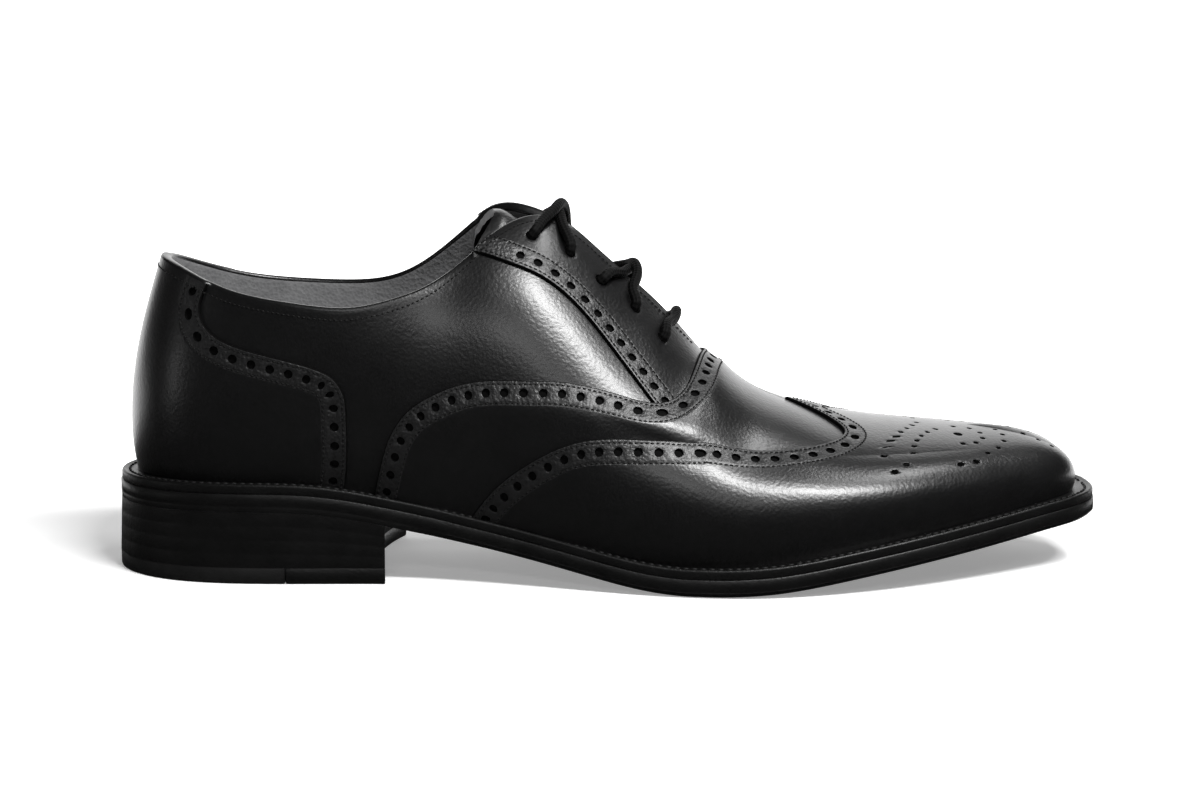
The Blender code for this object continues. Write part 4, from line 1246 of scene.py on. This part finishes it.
def instep_points(places, low_ray, high_ray, half):
    """Reads the instep at scattered places (ray, distance across, height) from one fine grid."""
    s = np.linspace(low_ray, high_ray, 181)
    d = np.linspace(-half, half, 121)
    across = np.broadcast_to(d, (len(s), len(d)))
    base = instep(s, across, np.zeros((len(s), 1)))
    raised = instep(s, across, np.ones((len(s), 1)))
    a = np.interp(places[:, 0], s, np.arange(len(s)))
    b = np.interp(places[:, 1], d, np.arange(len(d)))
    i, j = np.minimum(a.astype(int), len(s) - 2), np.minimum(b.astype(int), len(d) - 2)
    u, w = (a - i)[:, None], (b - j)[:, None]

    def mix(g):
        first = g[i, j] * (1 - u) + g[i + 1, j] * u
        second = g[i, j + 1] * (1 - u) + g[i + 1, j + 1] * u
        return first * (1 - w) + second * w

    low = mix(base)
    return low + (mix(raised) - low) * places[:, 2:]


def plate(top, bottom, rim):
    """Closed body between two grids of the same size, with its four side strips in material rim."""
    strips = [
        np.stack([bottom[:, 0], top[:, 0]], 1),
        np.stack([top[:, -1], bottom[:, -1]], 1),
        np.stack([top[0], bottom[0]], 1),
        np.stack([bottom[-1], top[-1]], 1),
    ]
    return [grid(top), grid(bottom, True)] + [grid(strip, False, rim) for strip in strips]


def tongue_face(extra):
    """Points of the tongue, with its corners cut back round the ankle, sunk under the quarters by extra."""
    down, over = np.linspace(0, 1, TONGUE_ROWS), np.linspace(-1, 1, TONGUE_COLUMNS)
    down, over = np.meshgrid(down, over, indexing="ij")
    first_ray = TONGUE_TOP - TONGUE_CORNER * smooth(np.abs(over) / 0.9)
    rays = first_ray + (TONGUE_LOW - first_ray) * down
    across = (TONGUE_HALF_TOP + (TONGUE_HALF_LOW - TONGUE_HALF_TOP) * down) * over
    drop = UPPER_WALL + 0.8 + 2.2 * smooth((rays - TONGUE_TOP - 0.004) / 0.03) + extra
    places = np.stack([rays, across, -drop], -1).reshape(-1, 3)
    points = instep_points(places, TONGUE_TOP - TONGUE_CORNER, TONGUE_LOW, TONGUE_HALF_TOP)
    return points.reshape(TONGUE_ROWS, TONGUE_COLUMNS, 3)


tongue = plate(tongue_face(0.0), tongue_face(TONGUE_THICK), 1)
sew_in("tongue_leaf", tongue, [calf, lining], ["tongue"])

# Welt: a strip of black leather round the whole shoe, with a raised bead on its outer edge, a sunk row
# of heavy stitches and a dark gully against the upper.
# Distance inwards from the sole's edge, height above the outsole
WELT_OUTER = [
    (0.9, 0.0),
    (0.45, 0.10),
    (0.35, 0.6),
    (0.35, 2.3),
    (0.50, 2.75),
    (0.85, 3.0),
    (1.25, 2.98),
    (1.60, 2.72),
    (1.85, 2.60),
    (2.15, 2.66),
    (2.45, 2.58),
    (2.85, 2.52),
    (3.25, 2.64),
]
# Distance beyond the feather line, height above the outsole
WELT_INNER = [(-0.9, 2.70), (-0.3, 2.45), (0.5, 2.30), (UPPER_WALL, 2.30), (UPPER_WALL, 0.0)]
WELT_STITCH_LINE, WELT_STITCH_HEIGHT = 2.75, 2.72
WELT_STITCH_PITCH, WELT_STITCH_LONG, WELT_STITCH_WIDE = 2.6, 2.3, 0.95
# Gap between the pieces of the bottom
SEAT_GAP = 0.05


def rim_line(s, side, inset, height):
    """Line round one side of the sole at an inset from its edge and a height over its underside."""
    x, y, forwards, sideways = ray(s)
    r = reach(s, side, inset)
    px, py = x + forwards * r, y + side * sideways * r
    return np.stack([px, py, underside(px) + height], -1)


def sole_finish(name, base, depth, rough):
    """Burnished black sole leather: long fibres, scuffs and a waxy unevenness."""
    made = Finish(name, base, rough, Specular_IOR_Level=0.3)
    streaks = made.noise(900, 3, 0.6)
    wax = made.noise(120, 3, 0.5)
    made.colour(wax * 0.6 + streaks * 0.4, scaled(base, 0.6), scaled(base, 1.6))
    made.drive("Roughness", rough - 0.08 + wax * 0.16)
    made.relief(streaks * 0.6 + wax * 0.8, depth)
    return made.material


edge_leather = sole_finish("burnished_sole_edge", grey(0.003), 0.000192, 0.40)
rim_rays = stepped(S_HEEL, (HEEL_BEND, 59), (TOE_BEND, 109), (S_TOE, 79))
welt_patches, welt_rows = [], []
for side in (-1, 1):
    feather = WALL_UNIT * spline(WALL, table_column(side))(rim_rays)
    insets = WELT_OUTER + [(feather + inset, height) for inset, height in WELT_INNER]
    seat = OUTSOLE_THICK + SEAT_GAP
    lines = [rim_line(rim_rays, side, inset, seat + height) for inset, height in insets]
    lines.append(lines[0])
    welt_patches.append(grid(np.stack(lines, 1), side > 0))
    line = rim_line(rim_rays, side, WELT_STITCH_LINE, OUTSOLE_THICK + WELT_STITCH_HEIGHT)
    run = run_of(line[None])[0]

    def welt_read(at, line=line, run=run):
        point = read_line(at, run, line)
        return point, np.broadcast_to([0.0, 0.0, 1.0], point.shape)

    sizes = (WELT_STITCH_PITCH, WELT_STITCH_LONG, WELT_STITCH_WIDE)
    welt_rows.append(stitch_row(welt_read, run[-1], *sizes))
sew_in("welt_strip", welt_patches, [edge_leather], ["welt"])
sew_in("welt_stitching", welt_rows, [thread])

# Outsole: a single leather sole, black all over, with a trimmed edge and a bevelled lower corner. A
# closed channel runs round its underside.
EDGE_BEVEL = 2.0
HEEL_LENGTH = 86.5
BREAST_HOLLOW = 6.0
# Share of the bevel's depth, height above the underside, extra inset
SOLE_EDGE = [
    (1.0, 0.0, 0.0),
    (0.45, 0.75, 0.0),
    (0.0, 1.6, 0.0),
    (0.0, 1.85, 0.10),
    (0.0, 2.1, -0.02),
    (0.0, 5.2, 0.0),
    (0.0, 5.5, 0.3),
]
# Columns of the underside from the lateral edge to the medial one, and how far each is sunk
SOLE_COLUMNS = [0.0, 0.07, 0.078, 0.086, 0.20, 0.4, 0.6, 0.8, 0.914, 0.922, 0.93, 1.0]
CHANNEL_DEPTHS = np.array([0, 0, 0.35, 0, 0, 0, 0, 0, 0, 0.35, 0, 0])

bevel = EDGE_BEVEL * np.clip((rim_rays - HEEL_LENGTH / LENGTH - 0.02) / 0.08, 0.04, 1)
sole_rims = {}
sole_patches = []
for side in (-1, 1):
    sole_rims[side] = [rim_line(rim_rays, side, bevel * share + extra, h) for share, h, extra in SOLE_EDGE]
    sole_patches.append(grid(np.stack(sole_rims[side], 1), side > 0))
for number, height in ((0, CHANNEL_DEPTHS), (-1, OUTSOLE_THICK)):
    share = np.array(SOLE_COLUMNS)[None, :, None]
    points = sole_rims[-1][number][:, None] * (1 - share) + sole_rims[1][number][:, None] * share
    points[..., 2] = underside(points[..., 0]) + height
    sole_patches.append(grid(points, number < 0))
sew_in("outsole_leather", sole_patches, [edge_leather], ["outsole"])

# Heel: lifts of leather stacked, nailed, trimmed and blackened. The top lift is rubber behind and
# leather in front of the joint.
TOP_LIFT_THICK = 5.0
RUBBER_LENGTH = 56.0
LIFTS = 4
# Groove between two lifts: share of a lift's height and how far the side stands back there
LIFT_PROFILE = [(0.0, 0.03), (0.05, 0.0), (0.95, 0.0), (1.0, 0.03)]
# Where the heel starts, and how far forward the sole's plan is used for it
HEEL_START, HEEL_REACH = 0.06, 130
HEEL_ROWS, HEEL_COLUMNS = 44, 31


def heel_plan(x_back, x_front, flare, hollow):
    """Plan grid between the sole's edges from x_back to x_front, its front bowed back in the middle.

    Behind the round back of the heel, the rows crowd towards it as the cosine does.
    """
    t = np.linspace(0, 1, HEEL_ROWS)
    x = x_back + (x_front - x_back) * (1 - np.cos(np.pi / 2 * t) if x_back < 1 else t)
    w = np.linspace(-1, 1, HEEL_COLUMNS)[None]
    moved = EDGE + EDGE_OUT * flare
    ends = []
    for side in (-1, 1):
        part = moved[(moved[:, 1] * side > 0) & (moved[:, 0] < HEEL_REACH)]
        part = part[np.argsort(part[:, 0])]
        ends.append(np.interp(x, part[:, 0], part[:, 1])[:, None])
    y = ends[0] * (1 - w) / 2 + ends[1] * (1 + w) / 2
    return np.stack([x[:, None] - hollow * t[:, None] ** 2 * (1 - w**2), y], -1)


def at_height(plan, height):
    """Plan grid lifted to one height, or to a height for each of its points."""
    return np.concatenate([plan, np.broadcast_to(height, plan.shape[:2])[..., None]], -1)


def block(levels):
    """Closed body from plan grids stacked from its lowest to its highest: only borders are used between."""
    rows, columns = levels[0].shape[:2]
    index = np.arange(rows * columns).reshape(rows, columns)
    sides = [index[:, 0], index[-1, 1:], index[-2::-1, -1], index[0, -2:0:-1], index[:1, 0]]
    border = np.concatenate(sides)
    wall = np.stack([level.reshape(-1, 3)[border] for level in levels], 1)
    return [grid(levels[0], False), grid(levels[-1], True), grid(wall, True)]


levels = []
for lift in range(LIFTS):
    for share, inset in LIFT_PROFILE:
        up = (lift + share) / LIFTS
        flare = HEEL_FLARE * (1 - up) - inset
        plan = heel_plan(HEEL_START - flare, HEEL_LENGTH - inset, flare, BREAST_HOLLOW)
        base = TOP_LIFT_THICK + SEAT_GAP
        top = underside(plan[..., 0]) - SEAT_GAP
        levels.append(at_height(plan, base + (top - base) * up))
sew_in("heel_lifts", block(levels), [edge_leather], ["heel_stack"])


def rubber_finish():
    """Black heel rubber: dusty and finely pitted."""
    made = Finish("black_heel_rubber", grey(0.004), 0.62, Specular_IOR_Level=0.25)
    dust = made.noise(300, 4, 0.6)
    pits = made.noise(1500, 2, 0.5)
    made.colour(dust, grey(0.002), grey(0.008))
    made.drive("Roughness", 0.52 + dust * 0.2)
    made.relief(pits, 0.00008)
    return made.material


# Side of the top lift from below: inset and height
TOP_LIFT_SIDE = [(0.5, 0.0), (0.15, 0.15), (0.0, 0.6), (0.0, TOP_LIFT_THICK - 0.15), (0.15, TOP_LIFT_THICK)]
LIFT_JOINT = 0.3


def top_lift(x_back, x_front, hollow):
    """One part of the top lift, its lower corner taken off."""
    levels = []
    for inset, height in TOP_LIFT_SIDE:
        plan = heel_plan(x_back + inset, x_front - inset, HEEL_FLARE - inset, hollow)
        levels.append(at_height(plan, height))
    return block(levels)


back = top_lift(HEEL_START - HEEL_FLARE, RUBBER_LENGTH, 0.0)
front = top_lift(RUBBER_LENGTH + LIFT_JOINT, HEEL_LENGTH, BREAST_HOLLOW)
sew_in("top_lift_back", back, [rubber_finish()], ["top_lift_rubber"])
sew_in("top_lift_front", front, [edge_leather], ["top_lift_leather"])

# Lace: one round braided cotton cord, waxed black. It crosses outside between the first and second and
# between the third and fourth holes, makes a straight bar at the fifth, and ends inside at the top holes.
LACE_RADIUS, LACE_STEP = 1.65, 0.45
# Heights of the cord's middle over the quarters: in a hole, on the facings, under them, and over the
# slit for the lower and the upper strand of a crossing
IN_HOLE, OUTSIDE, INSIDE = -0.6, 3.0, -3.9
HUMP_LOW, HUMP_HIGH = 2.6, 4.9
# Half a crossing, from its hole on: share of the way to the other hole, share of the lead, share of the
# hole's distance from the middle line and what is taken off it, and height
LACE_CLIMB = [
    (0.00, 0.0, 1.0, 0.0, IN_HOLE),
    (0.04, 0.0, 1.0, 0.3, OUTSIDE - 0.5),
    (0.16, 0.0, 1.0, 3.6, OUTSIDE + 0.1),
]
# Waves of the braid round the cord, and millimetres to one wave along it
BRAID_STRANDS, BRAID_PITCH = 4, 2.2


def lace_route():
    """Points of the lace's middle as (ray, distance from the middle line, height over the quarters).

    A crossing goes over the slit from a hole on one side to a hole on the other; its lead carries the
    middle of the strand down the slit. A run under the facings joins two holes of one side.
    """
    route = []

    def over(first, second, side, hump, lead):
        (s0, d0), (s1, d1) = LACE_HOLES[first], LACE_HOLES[second]
        half = LACE_CLIMB + [(0.36, 0.85, 0.3, 0.0, hump - 0.4)]
        for share, ahead, wide, less, height in half:
            route.append((s0 + share * (s1 - s0) + ahead * lead, side * (wide * d0 - less), height))
        route.append((s0 + 0.5 * (s1 - s0) + lead, 0.0, hump))
        for share, ahead, wide, less, height in half[::-1]:
            route.append((s1 - share * (s1 - s0) + ahead * lead, -side * (wide * d1 - less), height))

    def under(first, second, side):
        (s0, d0), (s1, d1) = LACE_HOLES[first], LACE_HOLES[second]
        for share in (0.22, 0.5, 0.78):
            route.append((s0 + share * (s1 - s0), side * (d0 + share * (d1 - d0)), INSIDE))

    end_ray, end_across = LACE_HOLES[0][0] + 0.010, LACE_HOLES[0][1] + 2.0
    route.append((end_ray, -end_across, INSIDE))
    over(0, 1, -1, HUMP_HIGH, 0.003)
    under(1, 2, 1)
    over(2, 3, 1, HUMP_HIGH, 0.009)
    under(3, 4, -1)
    over(4, 4, -1, HUMP_LOW + 0.6, 0.010)
    under(4, 3, 1)
    over(3, 2, 1, HUMP_LOW, 0.009)
    under(2, 1, -1)
    over(1, 0, -1, HUMP_LOW, 0.003)
    route.append((end_ray, end_across, INSIDE))
    return np.array(route)


def smooth_path(points, spacing):
    """Cubic curve through the points, read again at an even spacing."""
    knots = run_of(points[None])[0]
    fine = np.linspace(0, knots[-1], 6000)
    curve = np.stack([spline(np.column_stack([knots, points[:, k]]), 1)(fine) for k in range(3)], -1)
    run = run_of(curve[None])[0]
    return read_line(np.linspace(0, run[-1], int(run[-1] / spacing)), run, curve), run[-1]


def cord_tube(path, radius, around=14):
    """Round cord: circles square to the path, each turned as the last was, with rounded closed ends.

    The turn of each circle is the sum of the twists between a frame carried on from the one before and
    the frame that stands there.
    """
    ahead = unit(np.gradient(path, axis=0))
    axis = np.eye(3)[np.argmin(np.abs(ahead), axis=1)]
    first = unit(np.cross(ahead, axis))
    second = np.cross(ahead, first)
    a, b = ahead[:-1], ahead[1:]
    carried = first[:-1] - ((first[:-1] * b).sum(1) / (1 + (a * b).sum(1)))[:, None] * (a + b)
    twist = np.arctan2((carried * second[1:]).sum(1), (carried * first[1:]).sum(1))
    turned = np.concatenate([[0], np.cumsum(twist)])[:, None]
    angle = np.linspace(0, 2 * np.pi, around + 1)[None] + turned
    end = np.minimum(np.arange(len(path)), np.arange(len(path))[::-1])
    size = radius * np.sqrt(np.clip(1 - (1 - np.minimum(end / 3, 1)) ** 2, 0, 1))
    ring = np.cos(angle)[..., None] * first[:, None] + np.sin(angle)[..., None] * second[:, None]
    points = path[:, None] + ring * size[:, None, None]
    uv = chart_grid(np.linspace(0, 1, around + 1)[None], run_of(path[None])[0][:, None])
    return grid(points, True), uv.reshape(-1, 2)


def lace_finish():
    """Braid of two sets of strands winding round the cord in opposite ways, waxed dull, with painted shade
    in its grooves.
    """
    made = Finish("waxed_braid", grey(0.004), 0.75, Specular_IOR_Level=0.12)
    uv = made.node("ShaderNodeUVMap", {"uv_map": "along"}, {})
    turn = made.node("ShaderNodeSeparateXYZ", {}, [uv])
    run = Value(made, turn.socket.node.outputs[1])
    round_cord, along_cord = turn * (2 * np.pi * BRAID_STRANDS), run * (2 * np.pi / BRAID_PITCH)
    left = (round_cord + along_cord).wave()
    right = (round_cord - along_cord).wave()
    braid = (left * right) * 0.5 + 0.5
    fluff = made.noise(1700, 3, 0.6)
    # The colour is darker where the braid's relief is low: painted shade in the grooves between the
    # strands.
    made.colour(braid * 0.7 + fluff * 0.3, grey(0.001), grey(0.006))
    made.drive("Roughness", 0.60 + fluff * 0.2)
    made.relief(braid * 0.75 + fluff * 0.25, 0.00035)
    return made.material


lace_points = instep_points(lace_route(), 0.40, 0.60, 24)
lace_path, lace_length = smooth_path(lace_points, LACE_STEP)
lace_patch, lace_uv = cord_tube(lace_path, LACE_RADIUS)
print("lace length in mm:", round(float(lace_length), 1))
lace_nodes = ["lace_cross_upper", "lace_cross_lower", "lace_bar"]
sew_in("lace_cord", [lace_patch], [lace_finish()], lace_nodes, merge=0.0001, uv=lace_uv)

# Studio: a white floor that sweeps up into a glowing white background. Two soft boxes hang over the
# shoe, so that the black calf mirrors them in bands along its shoulders, one box stands in front, and a
# pale card stands behind the heel.
FLOOR_GLOW, SWEEP_GLOW, AIR_GLOW = 0.29, 1.45, 0.02
# Each box: name, place, size, brightness of its face, tip and then turn in degrees from facing down
SOFT_BOXES = [
    ("key_box", (0.54, -0.68, 1.2), (0.58, 0.20), 76, 0, 0),
    ("side_box", (0.62, 0.12, 1.2), (0.16, 0.56), 17, 0, 0),
    ("front_box", (-0.1, -1.8, 1.2), (0.7, 0.25), 6.5, 58, 0),
    ("heel_card", (-2.2, -0.9, 0.35), (0.22, 0.5), 3, 90, -68),
]


def studio_sheet(name, low, high, swept, glow):
    """White sheet between two corners, level or swept up behind, that also glows a little of itself.

    The swept one is a quarter of an ellipse: forwards with the sine and upwards with one less the cosine.
    """
    made = Finish(name + "_white", grey(0.92), 0.9, Specular_IOR_Level=0.0)
    paper = made.noise(3, 2, 0.5)
    made.colour(paper, grey(0.91), grey(0.93))
    made.shader.inputs["Emission Color"].default_value = (1, 1, 1, 1)
    made.shader.inputs["Emission Strength"].default_value = glow
    a, b = np.meshgrid(np.linspace(0, 1, 5), np.linspace(0, 1, 25), indexing="ij")
    quarter = b * np.pi / 2
    share = np.stack([a, np.sin(quarter), 1 - np.cos(quarter)] if swept else [a, b, 0 * a], -1)
    verts, faces, _ = grid(np.array(low) + share * (np.array(high) - low))
    mesh = bpy.data.meshes.new(name)
    mesh.from_pydata(verts, [], faces.tolist())
    mesh.materials.append(made.material)
    sheet = bpy.data.objects.new(name, mesh)
    bpy.context.scene.collection.objects.link(sheet)
    return sheet


floor = studio_sheet("studio_floor", (-4.0, -4.0, 0.0), (4.0, 0.15, 0.0), False, FLOOR_GLOW)
floor.visible_glossy = False
studio_sheet("studio_sweep", (-1.6, 0.15, 0.0), (1.8, 3.2, 3.0), True, SWEEP_GLOW)
for name, place, size, brightness, tip, turn in SOFT_BOXES:
    lamp_data = bpy.data.lights.new(name, "AREA")
    lamp_data.shape = "RECTANGLE"
    lamp_data.size, lamp_data.size_y = size
    lamp_data.energy = brightness * np.pi * size[0] * size[1]
    lamp = bpy.data.objects.new(name, lamp_data)
    lamp.location = place
    lamp.rotation_euler = (np.radians(tip), 0, np.radians(turn))
    bpy.context.scene.collection.objects.link(lamp)
world = bpy.data.worlds.new("studio_air")
world.use_nodes = True
air = world.node_tree.nodes["Background"]
air.inputs["Color"].default_value = (1, 1, 1, 1)
air.inputs["Strength"].default_value = AIR_GLOW
bpy.context.scene.world = world
bpy.context.scene.view_settings.view_transform = "Standard"
